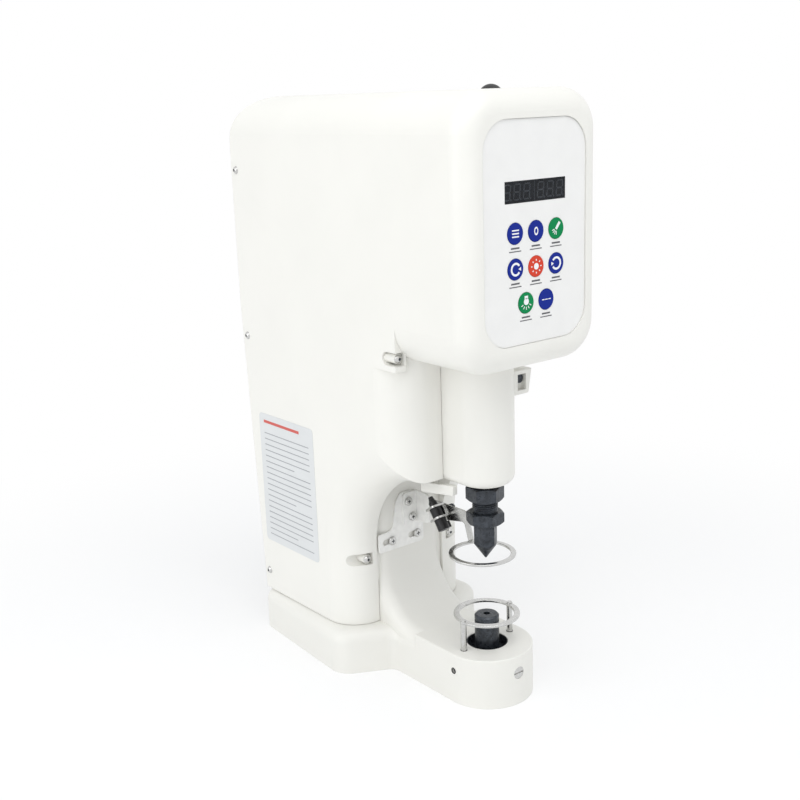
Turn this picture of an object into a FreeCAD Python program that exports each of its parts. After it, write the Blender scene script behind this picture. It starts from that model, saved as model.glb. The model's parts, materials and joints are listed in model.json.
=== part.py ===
import FreeCAD, Part
import math
import os

# Electric press for eyelets and snap buttons: a C-shaped iron frame under a moulded hood,
# a motor and ball screw that drive the ram, a punch over a die, and two finger guards.
# Millimetres. The ram's axis is x = y = 0, z = 0 is the bench, and the keypad faces -Y.
# Heights stack from the bench up, and depths from the ram's axis back.

V = FreeCAD.Vector
X = V(1, 0, 0)
Y = V(0, 1, 0)
Z = V(0, 0, 1)

# Shared clearances
overrun = 2.0                  # how far a cutting tool runs past the material
slip_gap = 0.2                 # round a screw in its clearance hole
seat_gap = 0.3                 # between pieces that only lie beside each other
flat_gap = 0.1                 # between flat faces that slide on each other
running_gap = 0.05             # radial, shaft in bush
near_enough = 0.02             # when edges are looked up by their place
same_point = 1e-6
round_end_share = 0.99         # of a slot's half height, for its rounded ends

# Iron frame
foot_height = 47.0
deck_rise = 5.7                # from the foot's top to the arm's top
throat_height = 183.3
top_arm_height = 110.0
column_front = 120.0
column_depth = 102.0
foot_tail = 64.0               # foot behind the column
foot_front_step = 4.0
foot_throat_step = 24.0
arm_half = 46.5
foot_front_half = 99.5
foot_rear_half = 89.0
foot_front_round = 24.0
foot_throat_round = 14.0
foot_rear_round = 12.0
foot_edge_round = 13.0
deck_edge_round = 1.2
column_half = 45.0
column_edge_round = 15.0
sweep_radius = 60.0
throat_corner_round = 45.0
arm_front = 42.0
arm_back_round = 30.0
arm_front_round = 6.0
column_pocket_width = 56.0
arm_pocket_height = 56.0
arm_pocket_inset = 24.0
arm_rib = 12.0
arm_rim = 20.0
pocket_rim = 8.0
pocket_round = 8.0
web_half = 14.0
under_pocket_length = 46.0
under_pocket_width = 54.0
under_pocket_depth = 26.0
under_pocket_step = 30.0
under_rib = 14.0
under_pocket_round = 6.0
bench_hole_radius = 3.4
bench_hole_depth = 22.0
bench_hole_side = 11.0         # from the foot's side
bench_hole_step = 20.0         # behind the column's front
bench_hole_end = 14.0          # from the foot's rear
ear_height = 16.0
ear_overlap = 4.0
upper_ear_depth = 13.0
upper_ear_side = 4.0           # inside the hood's side
lower_ear_depth = 12.0
lower_ear_side = 9.0

# Hood, one moulded shell
half_width = 85.0
wall = 3.0
front_wall = 5.0
hood_gap = 0.5
head_lift = 5.0                # from the frame's top arm to the head's underside
head_height = 249.0
head_front = -73.0
neck_front = 27.5
rear_step = 15.0               # behind the foot, above the taper
rear_foot_step = 2.0           # in front of the foot's rear, below it
taper_lift = 29.0
crown_round = 50.0
side_round = 37.0
front_round = 20.0
column_step = 1.0              # hood's front edge behind the column's front
throat_drop = 8.0
throat_lip = 1.5
return_depth = 15.0
rear_frame = 52.0
upper_boss_width = 13.0
upper_boss_drop = 12.5         # below the screw
upper_boss_depth = 36.5
boss_setback = 0.5
upper_slot_rise = 11.0
upper_slot_depth = 20.5
upper_slot_wall = 1.8
lower_slot_rise = 74.5
lower_slot_depth = 14.0
lower_slot_margin = 6.5
slot_half = 6.5
lower_boss_depth = 17.0
lower_boss_half = 13.0
sleeve_radius = 4.8
upper_screw_side = 6.5         # inside the hood's side
upper_screw_step = 4.5
lower_screw_side = 27.0
lower_screw_step = 1.5

# Small screws
small_shank = 2.0
small_head = 4.3
small_head_height = 2.8
small_recess_radius = 1.5
small_recess_depth = 1.4
side_screw_length = 9.0
side_screw_inset = 9.0
front_screw_reach = 9.0
front_hole_depth = 45.0
side_screw_top_drop = 75.0
side_screw_knee_drop = 35.0
side_screw_foot_rise = 22.5

# Rear cover
cover_sheet = 1.5
cover_flange = 20.0
vent_count = 9
vent_pitch = 11.0
vent_half_length = 32.0
vent_half_height = 2.0
vent_lift = 20.0
fitting_rise = 57.5
inlet_x = 42.0
switch_x = -4.0
socket_x = -46.0

# Mains inlet, rocker switch and pedal socket
inlet_half_width = 13.5
inlet_half_height = 10.0
inlet_flange_half = 25.0
inlet_flange_height = 13.0
inlet_flange = 2.0
inlet_depth = 18.0
inlet_wall = 1.6
inlet_pin_half = 1.0
inlet_pin_tall = 2.0
inlet_pin_spacing = 7.0
inlet_pin_rise = 3.0
inlet_pin_length = 14.0
switch_half_width = 7.0
switch_half_height = 11.0
switch_rim = 1.6
switch_rim_height = 1.6
switch_depth = 15.0
rocker_gap = 0.4
rocker_well = 6.0
rocker_radius = 22.0
rocker_pin_radius = 1.2
rocker_rise = 1.6
rocker_half_height = 8.4
rocker_half_width = 5.0
rocker_back = 4.0
rocker_belly_share = 0.8       # of the rocker's half height
rocker_edge_share = 0.97
rocker_crest_share = 0.9
socket_radius = 8.0
socket_flange = 11.0
socket_flange_thickness = 2.0
socket_depth = 16.0
socket_well = 9.0
socket_well_radius = 5.6
socket_pin_radius = 0.6
socket_pin_circle = 3.4
socket_pin_count = 4
socket_pin_turn = 45.0
socket_pin_length = 5.0

# Keypad label plate, display and keys
panel_side = 21.3              # inside the hood's side
panel_bottom_margin = 25.3
panel_top_margin = 25.8
panel_round = 28.0
panel_thickness = 1.2
panel_recess = 2.5
panel_edge_gap = 0.3
opening_margin = 8.0
key_radius = 9.5
key_spacing = 4.2              # between the flanges of neighbours
key_row_rise = 37.3            # from the plate's lower edge to the first row
key_row_pitch = 31.45
key_rows = [(2, (-1.0, 0.0, 1.0)), (1, (-1.0, 0.0, 1.0)), (0, (-0.5, 0.5))]
key_proud = 0.6
key_travel = 0.5
key_edge_round = 0.4
key_hole_gap = 0.3
key_flange_width = 1.2
key_flange = 1.0
key_stem_radius = 3.0
key_stem = 2.4
switch_button_radius = 1.7
switch_button = 0.9
switch_block_half = 3.0
display_half_width = 37.6
display_half_height = 9.5
display_gap = 15.5             # above the flanges of the top row
window_sink = 0.2
window_gap = 0.1
board_margin = 0.7
board_thickness = 1.6
board_offset = 6.0             # behind the inner side of the hood's front wall
standoff_radius = 3.0
standoff_margin = 4.1

# Ram housing, bush and key
housing_radius = 30.0
housing_drop = 11.5            # below the frame's top arm
housing_rise = 26.0            # above it
housing_edge_round = 10.0
housing_gap = 0.4
flange_half = 40.0
flange_lift = 4.0
flange_thickness = 11.0
flange_round = 4.0
housing_bore = 20.0
bush_inset = 1.0
bush_length = 96.0
housing_screw_x = 34.5
housing_screw_inset = 16.0
cap_head_radius = 5.0
cap_head_height = 6.0
cap_shank = 3.0
cap_socket = 2.5
cap_socket_depth = 3.0
cap_screw_length = 26.0
lug_half_width = 11.0
lug_centre = -10.0
lug_drop = 36.0                # below the top arm's upper side
lug_height = 24.0
lug_length = 20.0
lug_draft = 4.0
lug_pocket_side = 1.5
lug_pocket_end = 7.5
lug_pocket_rim = 4.0
lug_pocket_depth = 6.0
lug_screw_radius = 4.6

# Ram, screw and drive
ram_radius = 17.5
ram_show = 2.5                 # below the housing, at rest
ram_length = 114.0
ram_chamfer = 1.0
stud_radius = 12.0
stud_bore_depth = 20.0
stud_end_gap = 1.5
nut_body_radius = 12.0
nut_body_length = 40.0
nut_flange_radius = 17.2
nut_flange = 9.0
ram_stroke = 55.0
screw_radius = 6.0
screw_bore_radius = 8.0
screw_end_gap = 4.0
screw_neck_radius = 5.0
shoulder_drop = 4.0
ram_key_half = 3.0
ram_key_drop = 2.0
ram_key_height = 14.0
ram_key_reach = 15.0
key_slot_top_margin = 1.0
block_radius = 29.0
block_height = 20.0
block_clear_radius = 9.0
bearing_outer = 13.0
bearing_lift = 5.0
bearing_width = 12.0
bracket_height = 38.0
bracket_tube_radius = 29.0
bracket_tube_bore = 20.0
bracket_window_half = 13.0
bracket_window_lift = 6.0
bracket_window_drop = 10.0
coupling_radius = 12.0
coupling_lift = 5.0
coupling_drop = 7.0
coupling_slit = 1.0
coupling_core = 2.0            # left standing across the middle at each slit
coupling_slit_offsets = [7.0, 13.0, 19.0]
motor_half = 30.0
motor_flange = 8.0
motor_body_length = 78.0
motor_body_half = 26.0
motor_body_round = 17.0
motor_flange_round = 4.0
motor_cap_length = 24.0
motor_cap_half = 25.0
motor_cap_round = 3.0
motor_rib_count = 6
motor_rib_depth = 1.5
motor_rib_width = 4.0
motor_screw_spread = 25.0
motor_screw_reach = 14.0
bracket_plate_height = 8.0
rotor_radius = 5.0
rotor_length = 90.0            # inside the motor

# Punch, stud and lock nuts
nut_flats = 33.3
nut_chamfer = 1.8
nut_face_inset = 0.6
upper_nut_gap = 1.0
upper_nut_height = 15.0
upper_nut_turn = 21.6
stud_show = 12.0               # between the nuts
lower_nut_height = 12.5
lower_nut_turn = 9.0
punch_corner_radius = 12.0
punch_turn = 34.0
punch_body_length = 21.5
punch_point_length = 15.7
punch_tip_radius = 0.8
punch_shank_radius = 7.0
punch_shank_length = 22.5

# Die, its seat and the nose's screws
die_radius = 12.5
die_height = 30.3              # above the deck
die_pilot_radius = 3.4
die_pilot_depth = 6.0
die_groove_drop = 7.0
die_groove_width = 1.4
die_groove_depth = 0.8
die_chamfer = 1.6
die_shank_radius = 8.0
die_shank_depth = 26.0
recess_radius = 21.2
recess_depth = 11.0
set_screw_radius = 2.5
set_screw_drop = 7.0           # below the recess
set_screw_sink = 2.5
plug_radius = 6.5
plug_drop = 13.1
plug_depth = 10.0
plug_sink = 0.6
plug_slot_half = 0.8
plug_slot_depth = 1.2

# Finger guards
lower_ring_inner = 27.8
lower_ring_outer = 33.8
lower_ring_lift = 29.3         # above the deck
lower_ring_thickness = 2.6
post_x = 32.0
post_radius = 2.2
post_collar_radius = 3.2
post_collar = 1.6
post_bury = 7.0
post_head_radius = 2.7
post_head = 1.2
upper_ring_inner = 28.6
upper_ring_outer = 34.0
upper_ring_rise = 12.0         # above the bracket's screws
upper_ring_thickness = 2.4
upper_ring_x = -2.6
upper_ring_y = 2.4
ring_edge_round = 0.7

# Bracket on the column, with the guard's arm and the laser pointer: heights are above its screws
bracket_lift = 82.9            # its screws above the deck
plate_thickness = 2.0
plate_corners = [
    (-44.5, -10.6, 2.0), (16.5, -10.6, 5.0), (16.5, 13.4, 4.0), (3.5, 50.4, 5.0),
    (-14.5, 50.4, 5.0), (-21.0, 40.4, 14.0), (-25.5, 11.4, 8.0), (-44.5, 9.9, 2.0)]
slot_screw_x = [-27.5, 7.3]
slot_left = 12.0
slot_right = 4.2
slot_radius = 3.3
joint_screw_spots = [(-5.1, 39.8), (-0.3, 21.4)]
tab_left = -12.0
tab_top_rise = 49.4
tab_bottom_rise = 13.4
tab_round = 4.0
arm_plane = 6.0                # left side of the bent flange
flange_reach = 24.0
flange_heel = 4.0
flange_corner_round = 7.0
arm_thickness = 1.8
arm_setback = 14.0             # its rear end, in front of the column
arm_end_corners = [(27.5, 14.4, 0.0), (35.4, 14.4, 0.0), (41.0, 32.9, 4.0), (70.0, 27.4, 12.0)]
arm_low_rise = 27.4
arm_high_rise = 44.4
arm_crest = (36.0, 45.4, 9.0)
arm_end_round = 4.0
pan_head_radius = 4.8
pan_head_height = 2.6
pan_head_round = 1.5
pan_shank = 2.1
pan_cross_half = 0.5
pan_cross_depth = 1.3
pan_screw_length = 12.0
laser_x = -0.5
laser_y = 73.8
laser_rise = 36.6
laser_lean = 55.0              # degrees below level
laser_radius = 6.3
laser_length = 31.4
laser_ahead = 19.7
laser_edge = 0.7
laser_cap_radius = 4.6
laser_cap_length = 4.0
laser_lens_radius = 2.4
laser_lens_depth = 2.0
laser_block_half = 3.5
laser_block_length = 7.0
clamp_leg = 2.2
clamp_leg_spacing = 12.4
clamp_margin = 1.7
clamp_round = 3.0
knob_radius = 4.7
knob_length = 12.0
knob_shank_radius = 2.0
knob_flute_count = 12
knob_flute_radius = 0.8

# Work lamp under the neck, which rises towards the front
lamp_left = -32.0
lamp_width = 5.5
lamp_front = 11.3
lamp_back = 60.5
lamp_drop = 11.5               # its front edge below the frame's top arm
lamp_slope_drop = 7.4
lamp_height = 10.2
lamp_round = 2.0
lamp_tab_length = 12.0
lamp_tab_thickness = 2.0
lens_margin = 4.0
lens_side_margin = 1.0
lens_thickness = 1.5
lamp_screw_inset = 5.5
lamp_screw_drop = 8.0

# Plug in the hood's top
plug_top_y = -16.0
top_plug_radius = 9.0
top_plug_rise = 4.2
top_plug_stem = 5.0
top_plug_stem_length = 7.0

# Power and drive unit behind the column
drive_side = 33.0              # inside the hood's side
drive_clearance = 22.0         # in front of the foot's rear
drive_lift = 37.0
drive_height = 166.0
drive_round = 3.0
drive_fin_count = 9
drive_fin_width = 3.0
drive_fin_depth = 7.0

# Heights that follow
deck_height = foot_height + deck_rise
throat_ceiling = deck_height + throat_height
arm_top = throat_ceiling + top_arm_height
head_bottom = arm_top + head_lift
head_top = head_bottom + head_height
hood_bottom = foot_height + hood_gap
throat_top = throat_ceiling - throat_drop
taper_start = head_bottom + taper_lift
rear_opening_top = head_top - rear_frame
upper_slot_height = arm_top + upper_slot_rise
upper_boss_bottom = upper_slot_height - upper_boss_drop
lower_slot_height = foot_height + lower_slot_rise
fitting_height = hood_bottom + fitting_rise
panel_bottom = head_bottom + panel_bottom_margin
panel_top = head_top - panel_top_margin
housing_bottom = throat_ceiling - housing_drop
housing_top = arm_top + housing_rise
flange_bottom = throat_ceiling + flange_lift
housing_screw_heights = [flange_bottom + housing_screw_inset, arm_top - housing_screw_inset]
lug_bottom = arm_top - lug_drop
lug_top = lug_bottom + lug_height
ram_bottom = housing_bottom - ram_show
ram_top = ram_bottom + ram_length
ram_key_low = flange_bottom - ram_key_drop
ram_key_high = ram_key_low + ram_key_height
stud_top = ram_bottom + stud_bore_depth - stud_end_gap
screw_lower_end = ram_bottom + stud_bore_depth + screw_end_gap
screw_shoulder = housing_top - shoulder_drop
bearing_bottom = housing_top + bearing_lift
block_top = housing_top + block_height
bracket_top = block_top + bracket_height
coupling_bottom = block_top + coupling_lift
coupling_top = bracket_top - coupling_drop
rotor_bottom = (coupling_bottom + coupling_top) / 2
upper_nut_top = ram_bottom - upper_nut_gap
upper_nut_bottom = upper_nut_top - upper_nut_height
lower_nut_top = upper_nut_bottom - stud_show
lower_nut_bottom = lower_nut_top - lower_nut_height
stud_bottom = lower_nut_bottom
punch_shoulder = stud_bottom - punch_body_length
punch_tip = punch_shoulder - punch_point_length
recess_floor = deck_height - recess_depth
die_top = deck_height + die_height
lower_ring_bottom = deck_height + lower_ring_lift
slot_screw_z = deck_height + bracket_lift
laser_z = slot_screw_z + laser_rise
lamp_top = throat_ceiling - lamp_drop
drive_bottom = foot_height + drive_lift
drive_top = drive_bottom + drive_height

# Depths that follow
column_back = column_front + column_depth
foot_front = column_front + foot_front_step
foot_throat = column_front - foot_throat_step
foot_rear = column_back + foot_tail
rear_face = foot_rear + rear_step
rear_foot = foot_rear - rear_foot_step
hood_column_front = column_front + column_step
throat_radius = hood_column_front - neck_front - throat_lip
throat_y = neck_front + throat_lip
throat_z = throat_top - throat_radius
upper_slot_end = neck_front + upper_slot_depth
lower_slot_end = hood_column_front + lower_slot_depth
upper_screw_face = neck_front + upper_screw_step
lower_screw_face = hood_column_front + lower_screw_step
panel_front = head_front + panel_recess - panel_thickness
panel_back = panel_front + panel_thickness
inner_front = head_front + front_wall
board_front = inner_front + board_offset
plate_back = column_front - flat_gap
plate_front = plate_back - plate_thickness
tab_front = plate_front - plate_thickness
arm_rear = column_front - arm_setback
drive_depth = foot_tail - drive_clearance

# Widths that follow
throat_half = column_half + hood_gap
upper_ear_half = half_width - upper_ear_side
lower_ear_half = half_width - lower_ear_side
upper_screw_x = half_width - upper_screw_side
lower_screw_x = half_width - lower_screw_side
lower_slot_inner = lower_screw_x - lower_slot_margin
bench_hole_x = foot_rear_half - bench_hole_side
panel_half = half_width - panel_side
board_half = panel_half - board_margin
standoff_x = panel_half - standoff_margin
key_flange_radius = key_radius + key_flange_width
key_pitch = 2 * key_flange_radius + key_spacing
top_row = panel_bottom + key_row_rise + key_rows[0][0] * key_row_pitch
display_height = top_row + key_flange_radius + display_gap + display_half_height
lug_reach = housing_radius + lug_length
arm_left = arm_plane + plate_thickness
arm_right = arm_left + arm_thickness
drive_half = half_width - drive_side


def box(low, high):
    """A block between two corners."""
    size = [high[i] - low[i] for i in range(3)]
    return Part.makeBox(size[0], size[1], size[2], V(*low))


def rod(radius, start, direction, length):
    """A cylinder from a start point along a direction."""
    return Part.makeCylinder(radius, length, V(*start), direction)


def ring(outer, inner, start, direction, length):
    """A tube, or a flat ring."""
    return rod(outer, start, direction, length).cut(rod(inner, start, direction, length))


def flat_xy(z):
    return lambda u, v: V(u, v, z)


def flat_xz(y):
    return lambda u, v: V(u, y, v)


def flat_yz(x):
    return lambda u, v: V(x, u, v)


def corner_points(before, corner, after, place):
    """The points that a corner leaves in an outline: itself, or the ends and middle of its arc."""
    u, v, radius = corner
    if radius == 0:
        return [place(u, v)]
    back = V(before[0] - u, before[1] - v, 0).normalize()
    ahead = V(after[0] - u, after[1] - v, 0).normalize()
    half = back.getAngle(ahead) / 2
    reach = radius / math.tan(half)
    inward = (back + ahead).normalize() * (radius / math.sin(half) - radius)
    steps = [back * reach, inward, ahead * reach]
    return [place(u + step.x, v + step.y) for step in steps]


def outline(corners, place):
    """A closed wire through corners given as (u, v, radius)."""
    count = len(corners)
    spots = []
    for i in range(count):
        spots.append(corner_points(corners[i - 1], corners[i], corners[(i + 1) % count], place))
    edges = []
    for i in range(count):
        if len(spots[i]) > 1:
            edges.append(Part.Arc(*spots[i]).toShape())
        leaving = spots[i][-1]
        arriving = spots[(i + 1) % count][0]
        if leaving.distanceToPoint(arriving) > same_point:
            edges.append(Part.LineSegment(leaving, arriving).toShape())
    return Part.Wire(edges)


def prism(corners, place, travel):
    """An outline's face, pushed along a vector."""
    return Part.Face(outline(corners, place)).extrude(travel)


def rectangle(low_u, high_u, low_v, high_v, radius):
    """Corners of a rectangle with one radius."""
    spots = [(low_u, low_v), (high_u, low_v), (high_u, high_v), (low_u, high_v)]
    return [(u, v, radius) for u, v in spots]


def both_sides(shape):
    """A shape and its mirror image across the middle plane."""
    return [shape, shape.mirror(V(0, 0, 0), X)]


def fused(shapes):
    """One shape from many that meet."""
    return shapes[0].fuse(shapes[1:]).removeSplitter()


def edges_at(shape, test):
    """The edges whose ends and middle all pass a test."""
    found = []
    for edge in shape.Edges:
        points = [vertex.Point for vertex in edge.Vertexes]
        points.append(edge.CenterOfMass)
        if all(test(point) for point in points):
            found.append(edge)
    return found


def near(a, b):
    return abs(a - b) < near_enough


def turned(profile, axis_point, direction):
    """A full revolve of an outline's face."""
    return Part.Face(profile).revolve(V(*axis_point), direction, 360)


def hexagon(corner_radius, turn, low, high):
    """A hexagonal bar with one corner at the angle given."""
    corners = []
    for i in range(6):
        angle = math.radians(turn + 60 * i)
        corners.append((corner_radius * math.cos(angle), corner_radius * math.sin(angle), 0))
    return prism(corners, flat_xy(low), V(0, 0, high - low))


def frame_side():
    """The C of arm, column and top arm, seen from the side."""
    corners = [
        (0, 0, 0), (column_back, 0, 0), (column_back, arm_top, arm_back_round),
        (arm_front, arm_top, arm_front_round), (arm_front, throat_ceiling, arm_front_round),
        (column_front, throat_ceiling, throat_corner_round), (column_front, deck_height, sweep_radius),
        (0, deck_height, 0)]
    return prism(corners, flat_yz(-column_half), V(2 * column_half, 0, 0))


def frame_foot():
    """The wide foot, with its upper edges rounded over."""
    right = [
        (foot_rear_half, foot_rear, foot_rear_round), (foot_front_half, foot_front, foot_front_round),
        (arm_half, foot_throat, foot_throat_round), (arm_half, 0, 0)]
    left = [(-x, y, radius) for x, y, radius in reversed(right)]
    foot = prism(right + left, flat_xy(0), V(0, 0, foot_height))
    upper = edges_at(foot, lambda p: near(p.z, foot_height) and p.y > foot_throat - foot_throat_round)
    arm_edges = edges_at(foot, lambda p: near(p.z, foot_height) and near(abs(p.x), arm_half))
    kept = [edge for edge in upper if not any(edge.isSame(other) for other in arm_edges)]
    return foot.makeFillet(foot_edge_round, kept)


def frame_arm():
    """The lower arm with its round nose."""
    nose = rod(arm_half, (0, 0, 0), Z, deck_height)
    bar = box((-arm_half, 0, 0), (arm_half, column_front - sweep_radius, deck_height))
    arm = fused([nose, bar])
    rim = edges_at(arm, lambda p: near(p.z, deck_height) and p.y < column_front - sweep_radius - overrun)
    return arm.makeFillet(deck_edge_round, rim)


def frame_pockets():
    """Hollows on both sides of the column and the top arm, which leave a web between ribs."""
    middle = (column_front + column_back) / 2
    centre = (throat_ceiling + arm_top) / 2
    across = (middle - column_pocket_width / 2, middle + column_pocket_width / 2)
    upright = (centre - arm_pocket_height / 2, centre + arm_pocket_height / 2)
    ear_bottom = lower_slot_height - ear_height / 2
    ear_top = lower_slot_height + ear_height / 2
    faces = [
        across + (deck_height + pocket_rim, ear_bottom - pocket_rim),
        across + (ear_top + pocket_rim, throat_ceiling - arm_rim),
        (arm_front + arm_pocket_inset, column_front) + upright,
        (column_front + arm_rib, column_back - arm_back_round) + upright]
    tools = []
    for face in faces:
        tools += both_sides(prism(rectangle(*face, pocket_round), flat_yz(web_half),
                                  V(column_half - web_half + overrun, 0, 0)))
    return tools


def foot_pockets():
    """Four hollows under the foot, between crossing ribs."""
    tools = []
    for row in range(2):
        near_side = column_front + under_pocket_step + row * (under_pocket_length + under_rib)
        face = rectangle(under_rib / 2, under_rib / 2 + under_pocket_width,
                         near_side, near_side + under_pocket_length, under_pocket_round)
        tools += both_sides(prism(face, flat_xy(-overrun), V(0, 0, under_pocket_depth + overrun)))
    return tools


def frame_ears():
    """Lugs that the hood's front screws reach."""
    upper_front = neck_front + upper_boss_depth + boss_setback + seat_gap
    lower_front = lower_slot_end + lower_boss_depth / 2 + seat_gap
    upper = box((-upper_ear_half, upper_front, arm_top - ear_overlap),
                (upper_ear_half, upper_front + upper_ear_depth, upper_slot_height + ear_height / 2))
    lower = box((-lower_ear_half, lower_front, lower_slot_height - ear_height / 2),
                (lower_ear_half, lower_front + lower_ear_depth, lower_slot_height + ear_height / 2))
    return [upper, lower]


def front_screw_spots():
    """Where the hood's front screws are: x, seat of the head, and height."""
    return [(upper_screw_x, upper_screw_face, upper_slot_height),
            (lower_screw_x, lower_screw_face, lower_slot_height)]


def frame_holes():
    """Bores for the die, the housing's screws, the hood's screws and the bench bolts."""
    tools = [rod(recess_radius, (0, 0, recess_floor), Z, recess_depth + overrun)]
    tools.append(rod(die_shank_radius, (0, 0, recess_floor - die_shank_depth), Z,
                     die_shank_depth + overrun))
    tools.append(rod(set_screw_radius, (-arm_half - overrun, 0, recess_floor - set_screw_drop), X,
                     arm_half + overrun))
    tools.append(rod(plug_radius, (0, -arm_half - overrun, foot_height - plug_drop), Y,
                     plug_depth + overrun))
    for side in (-1, 1):
        tools.append(rod(post_radius, (side * post_x, 0, deck_height - post_bury), Z, post_bury + overrun))
        for height in housing_screw_heights:
            tools.append(rod(cap_shank, (side * housing_screw_x, arm_front - overrun, height), Y,
                             cap_screw_length - flange_thickness + overrun))
        for x, seat, height in front_screw_spots():
            tools.append(rod(small_shank, (side * x, seat, height), Y, front_hole_depth))
        for y in (column_front + bench_hole_step, foot_rear - bench_hole_end):
            tools.append(rod(bench_hole_radius, (side * bench_hole_x, y, -overrun), Z,
                             bench_hole_depth + overrun))
    for x in slot_screw_x:
        tools.append(rod(pan_shank, (x, column_front - overrun, slot_screw_z), Y,
                         pan_screw_length + overrun))
    return tools


def frame_casting():
    column = frame_side()
    front_edges = edges_at(column, lambda p: near(abs(p.x), column_half) and near(p.y, column_front))
    column = column.makeFillet(column_edge_round, front_edges)
    shape = fused([column, frame_foot(), frame_arm()] + frame_ears())
    return shape.cut(frame_pockets() + foot_pockets() + frame_holes())


def throat_face(inset, place):
    """Half of a section across the throat, flared where the sides round over."""
    base = throat_radius + inset
    width = half_width - inset
    rounding = side_round - inset
    reach = half_width + overrun
    corners = [
        (-reach, 0, 0), (reach, 0, 0), (reach, base + rounding, 0), (width, base + rounding, 0),
        (width, base, rounding), (-width, base, rounding), (-width, base + rounding, 0),
        (-reach, base + rounding, 0)]
    return Part.Face(outline(corners, place))


def throat_tool(inset):
    """What the throat takes out of the hood's body."""
    reach = half_width + overrun
    bend = throat_face(inset, lambda u, v: V(u, throat_y + v, throat_z))
    bend = bend.revolve(V(0, throat_y, throat_z), X, 90)
    down = throat_face(inset, lambda u, v: V(u, throat_y + v, throat_z))
    down = down.extrude(V(0, 0, hood_bottom - 2 * overrun - throat_z))
    ahead = throat_face(inset, lambda u, v: V(u, throat_y, throat_z + v))
    ahead = ahead.extrude(V(0, neck_front - overrun - throat_y, 0))
    corner = box((-reach, neck_front - overrun, hood_bottom - 2 * overrun),
                 (reach, throat_y + overrun, throat_z + overrun))
    return fused([bend, down, ahead, corner])


def hood_form(inset, front_inset, open_by):
    """The hood's outer body, or its hollow, set in from the outer one."""
    width = half_width - inset
    rounding = side_round - inset
    front = head_front + front_inset
    rear = rear_face + open_by
    face = rectangle(-width, width, head_bottom + inset, head_top - inset, rounding)
    head = prism(face, flat_xz(front), V(0, rear - front, 0))
    head = head.makeFillet(front_round - front_inset, edges_at(head, lambda p: near(p.y, front)))
    neck = neck_front + inset
    plan = [(-width, neck, rounding), (width, neck, rounding), (width, rear, 0), (-width, rear, 0)]
    low = hood_bottom - open_by
    body = prism(plan, flat_xy(low), V(0, 0, head_bottom + side_round - low))
    side = [
        (front - overrun, low - overrun, 0), (rear_foot - inset, low - overrun, 0),
        (rear_foot - inset, hood_bottom, 0), (rear_face - inset, taper_start, 0),
        (rear_face - inset, head_top - inset, crown_round - inset),
        (front - overrun, head_top - inset, 0)]
    trim = prism(side, flat_yz(-half_width - overrun), V(2 * (half_width + overrun), 0, 0))
    return fused([head, body]).common(trim).cut(throat_tool(inset))


def housing_plan(radius, back):
    """The U of the ram housing, seen from above: two straight sides and a round front."""
    start = V(radius, back, 0)
    turn_in = V(radius, 0, 0)
    turn_out = V(-radius, 0, 0)
    end = V(-radius, back, 0)
    edges = [
        Part.LineSegment(start, turn_in).toShape(),
        Part.Arc(turn_in, V(0, -radius, 0), turn_out).toShape(),
        Part.LineSegment(turn_out, end).toShape(),
        Part.LineSegment(end, start).toShape()]
    return Part.Face(Part.Wire(edges))


def hood_bosses():
    """Solid corners of the hood round its front screws."""
    upper = box((-half_width, neck_front + boss_setback, upper_boss_bottom),
                (upper_boss_width - half_width, neck_front + boss_setback + upper_boss_depth,
                 head_bottom + side_round))
    lower = box((-half_width, hood_column_front, lower_slot_height - lower_boss_half),
                (-throat_half, lower_slot_end + lower_boss_depth / 2, lower_slot_height + lower_boss_half))
    return both_sides(upper), both_sides(lower.common(hood_form(0, 0, 0)))


def throat_returns():
    """The throat's edges, turned inwards beside the column."""
    band = box((throat_half, neck_front + wall, hood_bottom),
               (throat_half + wall, hood_column_front + return_depth, throat_top + return_depth))
    rim = hood_form(0, 0, 0).cut(hood_form(return_depth, front_wall, overrun))
    return both_sides(rim.common(band))


def screw_slot(inner_x, end_y, height, screw_x, seat):
    """A round-ended slot from the side, less the sleeve that the screw's head sits on."""
    middle = end_y - slot_half
    reach = half_width - inner_x + overrun
    start = (-half_width - overrun, middle, height)
    slot = rod(slot_half, start, X, reach)
    mouth = box((-half_width - overrun, neck_front - 2 * overrun, height - slot_half),
                (-inner_x, middle, height + slot_half))
    sleeve = rod(sleeve_radius, (-screw_x, seat, height), Y, end_y - seat + overrun)
    return fused([slot, mouth]).cut(sleeve)


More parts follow.
